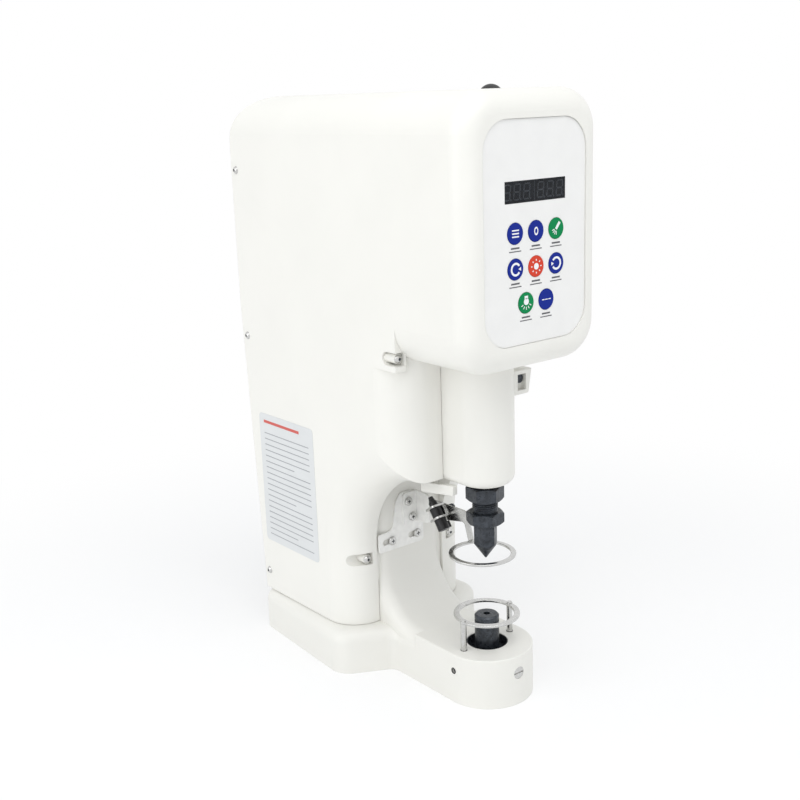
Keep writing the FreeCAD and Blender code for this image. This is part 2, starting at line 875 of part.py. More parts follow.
def hood_holes():
    """Openings for the keypad, the housing, the throat, the rear cover and the screws."""
    opening = rectangle(opening_margin - panel_half, panel_half - opening_margin,
                        panel_bottom + opening_margin, panel_top - opening_margin,
                        panel_round - opening_margin)
    recess = rectangle(-panel_half - panel_edge_gap, panel_half + panel_edge_gap,
                       panel_bottom - panel_edge_gap, panel_top + panel_edge_gap,
                       panel_round + panel_edge_gap)
    tools = [prism(opening, flat_xz(head_front - overrun), V(0, front_wall + 2 * overrun, 0))]
    tools.append(prism(recess, flat_xz(head_front - overrun), V(0, panel_recess + overrun, 0)))
    passage = housing_plan(housing_radius + housing_gap, neck_front + wall + overrun)
    passage.translate(V(0, 0, throat_top - overrun))
    tools.append(passage.extrude(V(0, 0, head_bottom - throat_top + wall + 2 * overrun)))
    tools.append(box((-throat_half, neck_front + wall, hood_bottom - overrun),
                     (throat_half, hood_column_front + wall + overrun, throat_top + wall + overrun)))
    tools.append(box((wall - half_width, rear_foot - 2 * wall, hood_bottom - overrun),
                     (half_width - wall, rear_face + overrun, rear_opening_top)))
    for y, z in side_screw_spots():
        tools.append(rod(small_shank + slip_gap, (-half_width - overrun, y, z), X, 2 * (half_width + overrun)))
    for side in (-1, 1):
        for x, seat, height in front_screw_spots():
            tools.append(rod(small_shank + slip_gap, (side * x, seat - overrun, height), Y,
                             upper_boss_depth + overrun))
    tools.append(rod(top_plug_stem + slip_gap, (0, plug_top_y, head_top - wall - overrun), Z,
                     wall + 2 * overrun))
    return tools


def hood():
    shell = hood_form(0, 0, 0).cut(hood_form(wall, front_wall, overrun))
    upper, lower = hood_bosses()
    slots = both_sides(screw_slot(half_width - upper_boss_width + upper_slot_wall, upper_slot_end,
                                  upper_slot_height, upper_screw_x, upper_screw_face))
    slots += both_sides(screw_slot(lower_slot_inner, lower_slot_end, lower_slot_height,
                                   lower_screw_x, lower_screw_face))
    return fused([shell] + upper + lower + throat_returns()).cut(slots + hood_holes())


def dome_screw(start, direction, length):
    """A dome-headed screw: the start is the seat of its head, the direction points into the work."""
    base = V(*start)
    rise = small_head_height
    radius = (small_head ** 2 + rise ** 2) / (2 * rise)
    ball = Part.makeSphere(radius, base + direction * (radius - rise))
    head = ball.common(rod(small_head, base - direction * rise, direction, rise))
    shank = rod(small_shank, base, direction, length)
    recess = rod(small_recess_radius, base - direction * rise, direction, small_recess_depth)
    return fused([head, shank]).cut(recess)


def hood_side_screws():
    """Six dome-headed screws that hold the hood to the rear cover's flanges."""
    screws = []
    for y, z in side_screw_spots():
        screws += both_sides(dome_screw((-half_width, y, z), X, side_screw_length))
    return Part.makeCompound(screws)


def hood_front_screws():
    """Four dome-headed screws that hold the hood to the frame's lugs."""
    screws = []
    reaches = [neck_front + upper_boss_depth + front_screw_reach, lower_slot_end + lower_boss_depth
               + front_screw_reach / 2]
    for (x, seat, height), reach in zip(front_screw_spots(), reaches):
        screws += both_sides(dome_screw((-x, seat, height), Y, reach - seat))
    return Part.makeCompound(screws)


def rear_line(inset):
    """Corners of the hood's rear line, set in: the top, the knee and the bottom."""
    return [(rear_face - inset, rear_opening_top - seat_gap), (rear_face - inset, taper_start),
            (rear_foot - inset, hood_bottom)]


def side_screw_spots():
    """Where the hood's side screws are, along the rear line: y and z."""
    slope = (rear_face - rear_foot) / (taper_start - hood_bottom)
    spots = []
    for z in (head_top - side_screw_top_drop, taper_start - side_screw_knee_drop,
              hood_bottom + side_screw_foot_rise):
        rear = rear_face - slope * max(taper_start - z, 0)
        spots.append((rear - side_screw_inset, z))
    return spots


def rear_cover():
    """A bent sheet that closes the back, with flanges inside the hood's sides."""
    half = half_width - wall - seat_gap
    skin = rear_line(0) + list(reversed(rear_line(cover_sheet)))
    flange = rear_line(0) + list(reversed(rear_line(cover_flange)))
    panel = prism([(y, z, 0) for y, z in skin], flat_yz(-half), V(2 * half, 0, 0))
    side = prism([(y, z, 0) for y, z in flange], flat_yz(-half), V(cover_sheet, 0, 0))
    cover = fused([panel] + both_sides(side))
    tools = []
    for i in range(vent_count):
        middle = taper_start + vent_lift + i * vent_pitch
        face = rectangle(-vent_half_length, vent_half_length, middle - vent_half_height,
                         middle + vent_half_height, vent_half_height * round_end_share)
        tools.append(prism(face, flat_xz(rear_face - 2 * overrun), V(0, 4 * overrun, 0)))
    tools.append(fitting_body(inlet_x, inlet_half_width + slip_gap, inlet_half_height + slip_gap))
    tools.append(fitting_body(switch_x, switch_half_width + slip_gap, switch_half_height + slip_gap))
    tools.append(tilted(rod(socket_radius + slip_gap, (socket_x, -cover_flange, 0), Y, 2 * cover_flange)))
    for y, z in side_screw_spots():
        tools.append(rod(small_shank, (-half_width, y, z), X, 2 * half_width))
    return cover.cut(tools)


def rear_tilt():
    """The angle of the cover's lower part from upright, in degrees."""
    return math.degrees(math.atan2(rear_face - rear_foot, taper_start - hood_bottom))


def tilted(shape):
    """Moves a fitting built round the origin, with its face at y = 0, onto the cover's lower part."""
    share = (fitting_height - hood_bottom) / (taper_start - hood_bottom)
    y = rear_foot + share * (rear_face - rear_foot)
    moved = shape.copy()
    moved.rotate(V(0, 0, 0), X, -rear_tilt())
    moved.translate(V(0, y, fitting_height))
    return moved


def fitting_body(x, half_wide, half_tall):
    """A rectangular tool through the cover, at a fitting's place."""
    return tilted(box((x - half_wide, -cover_flange, -half_tall), (x + half_wide, cover_flange, half_tall)))


def power_inlet():
    """A mains inlet with three pins in its well."""
    body = box((inlet_x - inlet_half_width, -inlet_depth, -inlet_half_height),
               (inlet_x + inlet_half_width, 0, inlet_half_height))
    flange = prism(rectangle(inlet_x - inlet_flange_half, inlet_x + inlet_flange_half,
                             -inlet_flange_height, inlet_flange_height, inlet_wall),
                   flat_xz(0), V(0, inlet_flange, 0))
    rim = inlet_wall
    well = prism(rectangle(inlet_x - inlet_half_width + rim, inlet_x + inlet_half_width - rim,
                           rim - inlet_half_height, inlet_half_height - rim, rim),
                 flat_xz(rim - inlet_depth), V(0, inlet_depth + inlet_flange + overrun, 0))
    shape = fused([body, flange]).cut(well)
    pins = []
    for step, rise in ((-1, 0), (0, 1), (1, 0)):
        x = inlet_x + step * inlet_pin_spacing
        z = rise * inlet_pin_rise
        pins.append(box((x - inlet_pin_half, rim - inlet_depth, z - inlet_pin_tall),
                        (x + inlet_pin_half, inlet_pin_length - inlet_depth + rim, z + inlet_pin_tall)))
    return tilted(fused([shape] + pins))


def rocker_tool(grow):
    """The space that the rocker takes, with its pin."""
    half = rocker_half_height + grow
    wide = rocker_half_width + grow
    return box((switch_x - wide, -rocker_well - grow, -half), (switch_x + wide, 2 * rocker_well, half))


def power_switch():
    """The rocker switch's frame, with the well that the rocker turns in."""
    body = box((switch_x - switch_half_width, -switch_depth, -switch_half_height),
               (switch_x + switch_half_width, 0, switch_half_height))
    rim = prism(rectangle(switch_x - switch_half_width - switch_rim, switch_x + switch_half_width + switch_rim,
                          -switch_half_height - switch_rim, switch_half_height + switch_rim, switch_rim),
                flat_xz(0), V(0, switch_rim_height, 0))
    pin = rod(rocker_pin_radius + running_gap, (switch_x - switch_half_width + rocker_gap, 0, 0), X,
              2 * (switch_half_width - rocker_gap))
    return tilted(fused([body, rim]).cut([rocker_tool(rocker_gap), pin]))


def switch_rocker():
    """The rocker: a shallow V that stands proud at one end, on a cross pin."""
    top = rocker_rise + switch_rim_height
    waist = switch_rim_height / 2
    belly = rocker_half_height * rocker_belly_share
    edge = rocker_half_height * rocker_edge_share
    crest = rocker_half_height * rocker_crest_share
    corners = [
        (0, -rocker_back, 0), (belly, -rocker_back / 2, 0), (edge, waist, 0), (crest, top, 0),
        (0, waist, rocker_radius), (-crest, top, 0), (-edge, waist, 0), (-belly, -rocker_back / 2, 0)]
    paddle = prism(corners, lambda u, v: V(switch_x - rocker_half_width, v, u),
                   V(2 * rocker_half_width, 0, 0))
    pin = rod(rocker_pin_radius, (switch_x - switch_half_width + rocker_gap + flat_gap, 0, 0), X,
              2 * (switch_half_width - rocker_gap - flat_gap))
    return tilted(fused([paddle, pin]))


def pedal_socket():
    """A round socket for the foot pedal's lead, with a ring of pins."""
    flange = prism(rectangle(socket_x - socket_flange, socket_x + socket_flange, -socket_flange,
                             socket_flange, socket_flange_thickness), flat_xz(0),
                   V(0, socket_flange_thickness, 0))
    body = rod(socket_radius, (socket_x, -socket_depth, 0), Y, socket_depth)
    well = rod(socket_well_radius, (socket_x, -socket_well, 0), Y, socket_well + 2 * overrun)
    shape = fused([flange, body]).cut(well)
    pins = []
    for i in range(socket_pin_count):
        angle = math.radians(socket_pin_turn + 360 * i / socket_pin_count)
        spot = (socket_x + socket_pin_circle * math.cos(angle), -socket_well,
                socket_pin_circle * math.sin(angle))
        pins.append(rod(socket_pin_radius, spot, Y, socket_pin_length))
    return tilted(fused([shape] + pins))


def key_spots():
    """Centres of the keys, row by row from the top."""
    spots = []
    for row, steps in key_rows:
        for step in steps:
            spots.append((step * key_pitch, panel_bottom + key_row_rise + row * key_row_pitch))
    return spots


def control_panel():
    """The label plate, with holes for the keys and the display."""
    plate = prism(rectangle(-panel_half, panel_half, panel_bottom, panel_top, panel_round),
                  flat_xz(panel_front), V(0, panel_thickness, 0))
    tools = []
    for x, z in key_spots():
        tools.append(rod(key_radius + key_hole_gap, (x, panel_front - overrun, z), Y,
                         panel_thickness + 2 * overrun))
    tools.append(box((-display_half_width - window_gap, panel_front - overrun,
                      display_height - display_half_height - window_gap),
                     (display_half_width + window_gap, panel_back + overrun,
                      display_height + display_half_height + window_gap)))
    return plate.cut(tools)


def display_window():
    """The smoked window, set just below the plate's face."""
    return box((-display_half_width, panel_front + window_sink, display_height - display_half_height),
               (display_half_width, panel_back + window_sink, display_height + display_half_height))


def display_module():
    """The block of digits behind the window, soldered to the board."""
    return box((-display_half_width, panel_back + window_sink + flat_gap,
                display_height - display_half_height),
               (display_half_width, board_front, display_height + display_half_height))


def key_cap(x, z):
    """One round key with a flange behind the plate and a stem to its switch."""
    front = panel_front - key_proud
    cap = rod(key_radius, (x, front, z), Y, panel_back + flat_gap - front)
    cap = cap.makeFillet(key_edge_round, edges_at(cap, lambda p: near(p.y, front)))
    flange = rod(key_flange_radius, (x, panel_back + flat_gap, z), Y, key_flange)
    stem = rod(key_stem_radius, (x, panel_back + flat_gap + key_flange, z), Y, key_stem)
    return fused([cap, flange, stem])


def control_board():
    """The printed board behind the keys."""
    return prism(rectangle(-board_half, board_half, panel_bottom + opening_margin / 2,
                           panel_top - opening_margin / 2, opening_margin),
                 flat_xz(board_front), V(0, board_thickness, 0))


def key_switches():
    """A small push switch under each key."""
    stem_end = panel_back + flat_gap + key_flange + key_stem
    button = stem_end + key_travel + flat_gap
    switches = []
    for x, z in key_spots():
        body = box((x - switch_block_half, button + switch_button, z - switch_block_half),
                   (x + switch_block_half, board_front, z + switch_block_half))
        nub = rod(switch_button_radius, (x, button, z), Y, switch_button)
        switches.append(fused([body, nub]))
    return Part.makeCompound(switches)


def board_standoffs():
    """Four posts between the hood's front wall and the board."""
    posts = []
    for z in (panel_bottom + 3 * opening_margin, panel_top - 3 * opening_margin):
        posts += both_sides(rod(standoff_radius, (-standoff_x, inner_front, z), Y,
                                board_front - inner_front))
    return Part.makeCompound(posts)


def ram_housing():
    """The round-fronted boss that guides the ram, bolted to the top arm by its flange."""
    body = housing_plan(housing_radius, arm_front)
    body.translate(V(0, 0, housing_bottom))
    body = body.extrude(V(0, 0, housing_top - housing_bottom))
    lower = edges_at(body, lambda p: near(p.z, housing_bottom) and p.y < arm_front - overrun)
    sides = edges_at(body, lambda p: near(p.z, housing_bottom) and near(abs(p.x), housing_radius))
    body = body.makeFillet(housing_edge_round, lower + sides)
    flange = prism(rectangle(-flange_half, flange_half, flange_bottom, arm_top, flange_round),
                   flat_xz(arm_front - flange_thickness), V(0, flange_thickness, 0))
    lug = [
        (0, lug_bottom, 0), (lug_reach - lug_draft, lug_bottom, lug_draft / 2),
        (lug_reach, lug_top, 0), (0, lug_top, 0)]
    lug = prism(lug, flat_xz(lug_centre - lug_half_width / 2), V(0, lug_half_width, 0))
    tools = [rod(housing_bore, (0, 0, housing_bottom - overrun), Z, housing_top - housing_bottom + 2 * overrun)]
    lug_face = lug_centre - lug_half_width / 2
    tools.append(box((housing_radius + lug_pocket_side, lug_face - overrun, lug_bottom + lug_pocket_rim),
                     (lug_reach - lug_pocket_end, lug_face + lug_pocket_depth, lug_top - lug_pocket_rim)))
    for side in (-1, 1):
        for height in housing_screw_heights:
            start = (side * housing_screw_x, arm_front - flange_thickness - overrun, height)
            tools.append(rod(cap_head_radius + slip_gap, start, Y, cap_head_height + overrun))
            tools.append(rod(cap_shank + slip_gap, start, Y, flange_thickness + 2 * overrun))
    tools.append(ram_key_form(0))
    return fused([body, flange, lug]).cut(tools)


def cap_screw(seat, direction, length):
    """A socket-headed screw: the seat is under its head, the direction points into the work."""
    base = V(*seat)
    start = base - direction * cap_head_height
    head = rod(cap_head_radius, start, direction, cap_head_height)
    shank = rod(cap_shank, base, direction, length)
    socket = rod(cap_socket, start, direction, cap_socket_depth)
    return fused([head, shank]).cut(socket)


def housing_screws():
    """Four screws through the housing's flange, and the screw in its lug."""
    screws = []
    seat = arm_front - flange_thickness + cap_head_height
    for height in housing_screw_heights:
        screws += both_sides(cap_screw((-housing_screw_x, seat, height), Y,
                                       cap_screw_length - cap_head_height))
    middle = (housing_radius + lug_pocket_side + lug_reach - lug_pocket_end) / 2
    pocket_floor = lug_centre - lug_half_width / 2 + lug_pocket_depth
    height = lug_top - lug_pocket_rim - lug_screw_radius - seat_gap
    screws.append(rod(lug_screw_radius, (middle, pocket_floor - cap_socket_depth, height), Y, cap_socket_depth))
    return Part.makeCompound(screws)


def ram_bush():
    """The bronze bush in the housing."""
    bush = ring(housing_bore, ram_radius + running_gap, (0, 0, housing_bottom + bush_inset), Z, bush_length)
    return bush.cut(ram_key_form(0))


def ram_key_form(grow):
    """The key that stops the ram from turning, at the back of the housing."""
    return box((-ram_key_half - grow, ram_key_reach - grow, ram_key_low),
               (ram_key_half + grow, arm_front, ram_key_high))


def ram_key():
    return ram_key_form(0)


def ram():
    """The plunger: bored for the stud below and for the ball nut above, with a keyway behind."""
    shaft = rod(ram_radius, (0, 0, ram_bottom), Z, ram_top - ram_bottom)
    ends = edges_at(shaft, lambda p: near(p.z, ram_bottom) or near(p.z, ram_top))
    shaft = shaft.makeChamfer(ram_chamfer, [edge for edge in ends if edge.Closed])
    keyway = box((-ram_key_half - flat_gap, ram_key_reach - flat_gap, ram_key_low - 2 * flat_gap),
                 (ram_key_half + flat_gap, ram_radius + overrun,
                  ram_key_high + ram_stroke + key_slot_top_margin))
    tools = [keyway]
    tools.append(rod(stud_radius, (0, 0, ram_bottom - overrun), Z, stud_bore_depth + overrun))
    tools.append(rod(nut_body_radius, (0, 0, ram_top - nut_body_length), Z, nut_body_length + overrun))
    tools.append(rod(screw_bore_radius, (0, 0, ram_bottom + stud_bore_depth + ram_chamfer), Z,
                     ram_top - ram_bottom - stud_bore_depth))
    return shaft.cut(tools)


def ball_nut():
    """The flanged nut in the ram's upper end."""
    body = ring(nut_body_radius, screw_radius + running_gap, (0, 0, ram_top - nut_body_length), Z,
                nut_body_length)
    flange = ring(nut_flange_radius, screw_radius + running_gap, (0, 0, ram_top), Z, nut_flange)
    return fused([body, flange])


def ball_screw():
    """The screw, with a shoulder under its bearing and a neck up to the coupling."""
    lower = rod(screw_radius, (0, 0, screw_lower_end), Z, screw_shoulder - screw_lower_end)
    collar = rod(screw_radius + ram_chamfer, (0, 0, screw_shoulder), Z, bearing_bottom - screw_shoulder)
    neck = rod(screw_neck_radius, (0, 0, bearing_bottom), Z, rotor_bottom - bearing_bottom)
    return fused([lower, collar, neck])


def bearing_block():
    """The block on the housing's top that carries the screw's bearing."""
    block = rod(block_radius, (0, 0, housing_top), Z, block_top - housing_top)
    seat = rod(bearing_outer, (0, 0, bearing_bottom), Z, bearing_width)
    clear = rod(block_clear_radius, (0, 0, housing_top - overrun), Z, block_top - housing_top + 2 * overrun)
    return block.cut([seat, clear])


def screw_bearing():
    """The screw's bearing, as one ring."""
    return ring(bearing_outer, screw_neck_radius + running_gap, (0, 0, bearing_bottom + flat_gap), Z,
                bearing_width - flat_gap)


def shaft_coupling():
    """A beam coupling, slit from alternate sides."""
    body = rod(coupling_radius, (0, 0, coupling_bottom), Z, coupling_top - coupling_bottom)
    bore = rod(screw_neck_radius, (0, 0, coupling_bottom - overrun), Z,
               coupling_top - coupling_bottom + 2 * overrun)
    tools = [bore]
    for i, offset in enumerate(coupling_slit_offsets):
        side = 1 - 2 * (i % 2)
        z = coupling_bottom + offset
        cut = box((-coupling_radius - overrun, coupling_core, z),
                  (coupling_radius + overrun, coupling_radius + overrun, z + coupling_slit))
        if side < 0:
            cut.rotate(V(0, 0, 0), Z, 180)
        tools.append(cut)
    return body.cut(tools)


def motor_bracket():
    """The cage between the bearing block and the motor, open on two sides."""
    tube = rod(bracket_tube_radius, (0, 0, block_top), Z, bracket_top - block_top)
    plate = prism(rectangle(-motor_half, motor_half, -motor_half, motor_half, motor_flange_round),
                  flat_xy(bracket_top - bracket_plate_height), V(0, 0, bracket_plate_height))
    tools = [rod(bracket_tube_bore, (0, 0, block_top - overrun), Z, bracket_top - block_top + 2 * overrun)]
    tools.append(box((-bracket_window_half, -bracket_tube_radius - overrun, block_top + bracket_window_lift),
                     (bracket_window_half, bracket_tube_radius + overrun, bracket_top - bracket_window_drop)))
    for x, y in motor_screw_spots():
        tools.append(rod(cap_shank, (x, y, block_top), Z, bracket_top - block_top + overrun))
    return fused([tube, plate]).cut(tools)


def motor_screw_spots():
    """The four corners of the motor's flange where its screws are."""
    return [(x * motor_screw_spread, y * motor_screw_spread) for x in (-1, 1) for y in (-1, 1)]


def motor_screws():
    """Four screws down through the motor's flange into the bracket."""
    seat = bracket_top + motor_flange
    return Part.makeCompound([cap_screw((x, y, seat), -Z, motor_screw_reach)
                              for x, y in motor_screw_spots()])


def motor_body():
    """The servo motor: a square flange, a ribbed body and the encoder's cap."""
    top = bracket_top + motor_flange
    flange = prism(rectangle(-motor_half, motor_half, -motor_half, motor_half, motor_flange_round),
                   flat_xy(bracket_top), V(0, 0, motor_flange))
    half = motor_body_half
    body = prism(rectangle(-half, half, -half, half, motor_body_round), flat_xy(top),
                 V(0, 0, motor_body_length))
    cap_base = top + motor_body_length
    half = motor_cap_half
    cap = prism(rectangle(-half, half, -half, half, motor_body_round), flat_xy(cap_base),
                V(0, 0, motor_cap_length))
    cap = cap.makeFillet(motor_cap_round,
                         edges_at(cap, lambda p: near(p.z, cap_base + motor_cap_length)))
    tools = [rod(rotor_radius + running_gap, (0, 0, bracket_top - overrun), Z,
                 rotor_length + overrun + flat_gap)]
    for x, y in motor_screw_spots():
        tools.append(rod(cap_shank + slip_gap, (x, y, bracket_top - overrun), Z, motor_flange + 2 * overrun))
    pitch = motor_body_length / (motor_rib_count + 1)
    for i in range(motor_rib_count):
        z = top + (i + 1) * pitch - motor_rib_width / 2
        for turn in range(4):
            groove = box((-motor_body_half + motor_body_round, motor_body_half - motor_rib_depth, z),
                         (motor_body_half - motor_body_round, motor_body_half + overrun,
                          z + motor_rib_width))
            groove.rotate(V(0, 0, 0), Z, 90 * turn)
            tools.append(groove)
    return fused([flange, body, cap]).cut(tools)


def motor_rotor():
    """The motor's shaft, from the coupling up into its body."""
    return rod(rotor_radius, (0, 0, rotor_bottom), Z, bracket_top + rotor_length - rotor_bottom)


def lock_nut(low, high, turn):
    """A hexagon nut with chamfered corners, bored for the stud."""
    corner = nut_flats / math.sqrt(3)
    bar = hexagon(corner, turn, low, high)
    flat = nut_flats / 2 - nut_face_inset
    skirt = [
        (0, low, 0), (flat, low, 0), (corner, low + nut_chamfer, 0), (corner, high - nut_chamfer, 0),
        (flat, high, 0), (0, high, 0)]
    cone = turned(outline(skirt, flat_xz(0)), (0, 0, 0), Z)
    return bar.common(cone).cut(rod(stud_radius, (0, 0, low - overrun), Z, high - low + 2 * overrun))


def die_stud():
    """The stud that carries the punch, bored for the punch's shank."""
    stud = rod(stud_radius, (0, 0, stud_bottom), Z, stud_top - stud_bottom)
    return stud.cut(rod(punch_shank_radius, (0, 0, stud_bottom - overrun), Z, punch_shank_length + overrun))


def upper_punch():
    """The punch: a hexagonal body that ends in a point, and a shank in the stud."""
    body = hexagon(punch_corner_radius, punch_turn, punch_tip, stud_bottom)
    point = [
        (0, punch_tip, 0), (punch_tip_radius, punch_tip, 0), (punch_corner_radius, punch_shoulder, 0),
        (punch_corner_radius, stud_bottom, 0), (0, stud_bottom, 0)]
    cone = turned(outline(point, flat_xz(0)), (0, 0, 0), Z)
    shank = rod(punch_shank_radius, (0, 0, stud_bottom), Z, punch_shank_length)
    return fused([body.common(cone), shank])


def lower_die():
    """The die: a turned post with a pilot hole, standing in the nose's recess."""
    foot = recess_floor - die_shank_depth
    groove_low = die_top - die_groove_drop
    groove_high = groove_low + die_groove_width
    deep = die_radius - die_groove_depth
    section = [
        (0, foot, 0), (die_shank_radius, foot, 0), (die_shank_radius, recess_floor, 0),
        (die_radius, recess_floor, 0),
        (die_radius, groove_low, 0), (deep, groove_low, 0), (deep, groove_high, 0),
        (die_radius, groove_high, 0), (die_radius, die_top - die_chamfer, 0),
        (die_radius - die_chamfer, die_top, 0), (die_pilot_radius, die_top, 0),
        (die_pilot_radius, die_top - die_pilot_depth, 0), (0, die_top - die_pilot_depth, 0)]
    return turned(outline(section, flat_xz(0)), (0, 0, 0), Z)


def die_set_screw():
    """The headless screw that holds the die's shank, below the nose's surface."""
    length = arm_half - set_screw_sink - die_shank_radius
    start = (set_screw_sink - arm_half, 0, recess_floor - set_screw_drop)
    screw = rod(set_screw_radius, start, X, length)
    socket = rod(set_screw_radius / 2, start, X, set_screw_sink)
    return screw.cut(socket)


def nose_plug():
    """The slotted plug in the front of the nose."""
    start = plug_sink - arm_half
    plug_height = foot_height - plug_drop
    plug = rod(plug_radius, (0, start, plug_height), Y, plug_depth - plug_sink)
    slot = box((-plug_radius, start - overrun, plug_height - plug_slot_half),
               (plug_radius, start + plug_slot_depth, plug_height + plug_slot_half))
    return plug.cut(slot)


def guard_ring(inner, outer, centre, thickness):
    """A flat polished ring with softened outer edges."""
    band = ring(outer, inner, centre, Z, thickness)
    rims = [edge for edge in band.Edges if edge.Closed]
    return band.makeFillet(ring_edge_round, rims)


def lower_guard_ring():
    band = guard_ring(lower_ring_inner, lower_ring_outer, (0, 0, lower_ring_bottom), lower_ring_thickness)
    holes = [rod(post_radius, (side * post_x, 0, lower_ring_bottom - overrun), Z,
                 lower_ring_thickness + 2 * overrun) for side in (-1, 1)]
    ears = [rod(post_collar_radius, (side * post_x, 0, lower_ring_bottom), Z, lower_ring_thickness)
            for side in (-1, 1)]
    return fused([band] + ears).cut(holes)


def guard_posts():
    """Two posts that carry the lower ring, each with a collar below and a head above."""
    top = lower_ring_bottom + lower_ring_thickness
    post = rod(post_radius, (-post_x, 0, deck_height - post_bury), Z, top + post_bury - deck_height)
    collar = rod(post_collar_radius, (-post_x, 0, deck_height), Z, post_collar)
    head = rod(post_head_radius, (-post_x, 0, top), Z, post_head)
    return Part.makeCompound(both_sides(fused([post, collar, head])))


def raised(shape):
    """Lifts a piece drawn from the height of the bracket's screws to its place."""
    return shape.translated(V(0, 0, slot_screw_z))


def bracket_plate():
    """The plate on the column's front, with two level slots."""
    plate = prism(plate_corners, flat_xz(plate_front), V(0, plate_thickness, 0))
    tools = []
    for x in slot_screw_x:
        tools.append(prism(rectangle(x - slot_left, x + slot_right, -slot_radius, slot_radius,
                                     slot_radius * round_end_share),
                           flat_xz(plate_front - overrun), V(0, plate_thickness + 2 * overrun, 0)))
    for x, rise in joint_screw_spots:
        tools.append(rod(pan_shank, (x, plate_front - overrun, rise), Y, plate_thickness + 2 * overrun))
    return raised(plate.cut(tools))


def pan_screw(x, y, z, length):
    """A pan-headed screw along +Y: the place is the seat of its head."""
    head = rod(pan_head_radius, (x, y - pan_head_height, z), Y, pan_head_height)
    rim = edges_at(head, lambda p: near(p.y, y - pan_head_height))
    head = head.makeFillet(pan_head_round, rim)
    shank = rod(pan_shank, (x, y, z), Y, length)
    floor = y - pan_head_height + pan_cross_depth
    cross = []
    for wide, tall in ((pan_shank, pan_cross_half), (pan_cross_half, pan_shank)):
        cross.append(box((x - wide, y - pan_head_height, z - tall), (x + wide, floor, z + tall)))
    return fused([head, shank]).cut(cross)


def bracket_screws():
    """Two screws through the plate's slots into the column."""
    seat = plate_front - flat_gap
    return Part.makeCompound([pan_screw(x, seat, slot_screw_z, pan_screw_length) for x in slot_screw_x])


def bracket_joint_screws():
    """Two screws that join the bent bracket to the plate."""
    length = 2 * plate_thickness
    return raised(Part.makeCompound([pan_screw(x, tab_front, rise, length)
                                     for x, rise in joint_screw_spots]))


def laser_bracket():
    """A bent bracket: a tab on the plate, and a flange that runs forward beside the laser."""
    tab = prism(rectangle(tab_left, arm_left, tab_bottom_rise, tab_top_rise, tab_round), flat_xz(tab_front),
                V(0, plate_thickness, 0))
    reach = plate_front - flange_reach
    side = [
        (plate_front, tab_bottom_rise, 0), (plate_front, tab_top_rise, 0),
        (reach, tab_top_rise, flange_corner_round), (reach, tab_bottom_rise + flange_heel, flange_corner_round)]
    flange = prism(side, flat_yz(arm_plane), V(plate_thickness, 0, 0))
    square = box((arm_plane - tab_round, tab_front, tab_bottom_rise), (arm_left, plate_front, tab_top_rise))
    holes = [rod(pan_shank, (x, tab_front - overrun, rise), Y, plate_thickness + 2 * overrun)
             for x, rise in joint_screw_spots]
    return raised(fused([tab, flange, square]).cut(holes))


def upper_guard():
    """The upper ring, welded to the strip that runs back to the bent bracket."""
    band = guard_ring(upper_ring_inner, upper_ring_outer, (upper_ring_x, upper_ring_y, upper_ring_rise),
                      upper_ring_thickness)
    corners = arm_end_corners + [(arm_rear, arm_low_rise, arm_end_round),
                                 (arm_rear, arm_high_rise, arm_end_round), arm_crest]
    strip = prism(corners, flat_yz(arm_left), V(arm_thickness, 0, 0))
    strip = strip.cut(rod(knob_shank_radius + running_gap, (arm_left - overrun, laser_y, laser_rise), X,
                          arm_thickness + 2 * overrun))
    return raised(fused([band, strip]))


def laser_place(shape):
    """Moves a piece built along -Z round the origin to the laser's place and lean."""
    moved = shape.copy()
    moved.rotate(V(0, 0, 0), X, laser_lean - 90)
    moved.translate(V(laser_x, laser_y, laser_z))
    return moved


def laser_module():
    """The laser pointer: a black barrel, a smaller cap where its lead leaves, and a sunk lens."""
    low = -laser_ahead
    barrel = rod(laser_radius, (0, 0, low), Z, laser_length - laser_cap_length)
    rim = edges_at(barrel, lambda p: near(p.z, low))
    barrel = barrel.makeChamfer(laser_edge, [edge for edge in rim if edge.Closed])
    cap = rod(laser_cap_radius, (0, 0, low + laser_length - laser_cap_length), Z, laser_cap_length)
    block = box((0, -laser_block_half, low + laser_edge),
                (arm_left - laser_x - seat_gap, laser_block_half, low + laser_edge + laser_block_length))
    lens = rod(laser_lens_radius, (0, 0, low), Z, laser_lens_depth)
    return laser_place(fused([barrel, cap, block]).cut(lens))


def laser_clamp():
    """The bent clamp: a web beside the guard's strip and two legs that hold the barrel."""
    grip = laser_radius + clamp_margin
    side = arm_left - flat_gap - laser_x
    reach = (clamp_leg_spacing + clamp_leg) / 2
    legs = []
    for low in (-reach, reach - clamp_leg):
        legs.append(prism(rectangle(-grip, side, -grip, grip, clamp_round), flat_xy(low), V(0, 0, clamp_leg)))
    web = box((laser_radius + flat_gap, clamp_round - grip, -reach), (side, grip - clamp_round, reach))
    bore = rod(laser_radius, (0, 0, -reach - overrun), Z, 2 * (reach + overrun))
    screw = rod(knob_shank_radius + running_gap, (0, 0, 0), X, side + overrun)
    return laser_place(fused(legs + [web]).cut([bore, screw]))


def clamp_screw():
    """The knurled thumb screw that the clamp turns on, and that locks it."""
    start = arm_right + flat_gap - laser_x
    knob = rod(knob_radius, (start, 0, 0), X, knob_length)
    tools = []
    for i in range(knob_flute_count):
        angle = math.radians(360 * i / knob_flute_count)
        spot = (start - overrun, knob_radius * math.cos(angle), knob_radius * math.sin(angle))
        tools.append(rod(knob_flute_radius, spot, X, knob_length + 2 * overrun))
    tip = laser_radius + flat_gap
    shank = rod(knob_shank_radius, (tip, 0, 0), X, start - tip + overrun)
    return laser_place(fused([knob.cut(tools), shank]))


def lamp_underside(y):
    """Height of the lamp's underside at a depth."""
    share = (y - lamp_front) / (lamp_back - lamp_front)
    return lamp_top - lamp_height - share * lamp_slope_drop


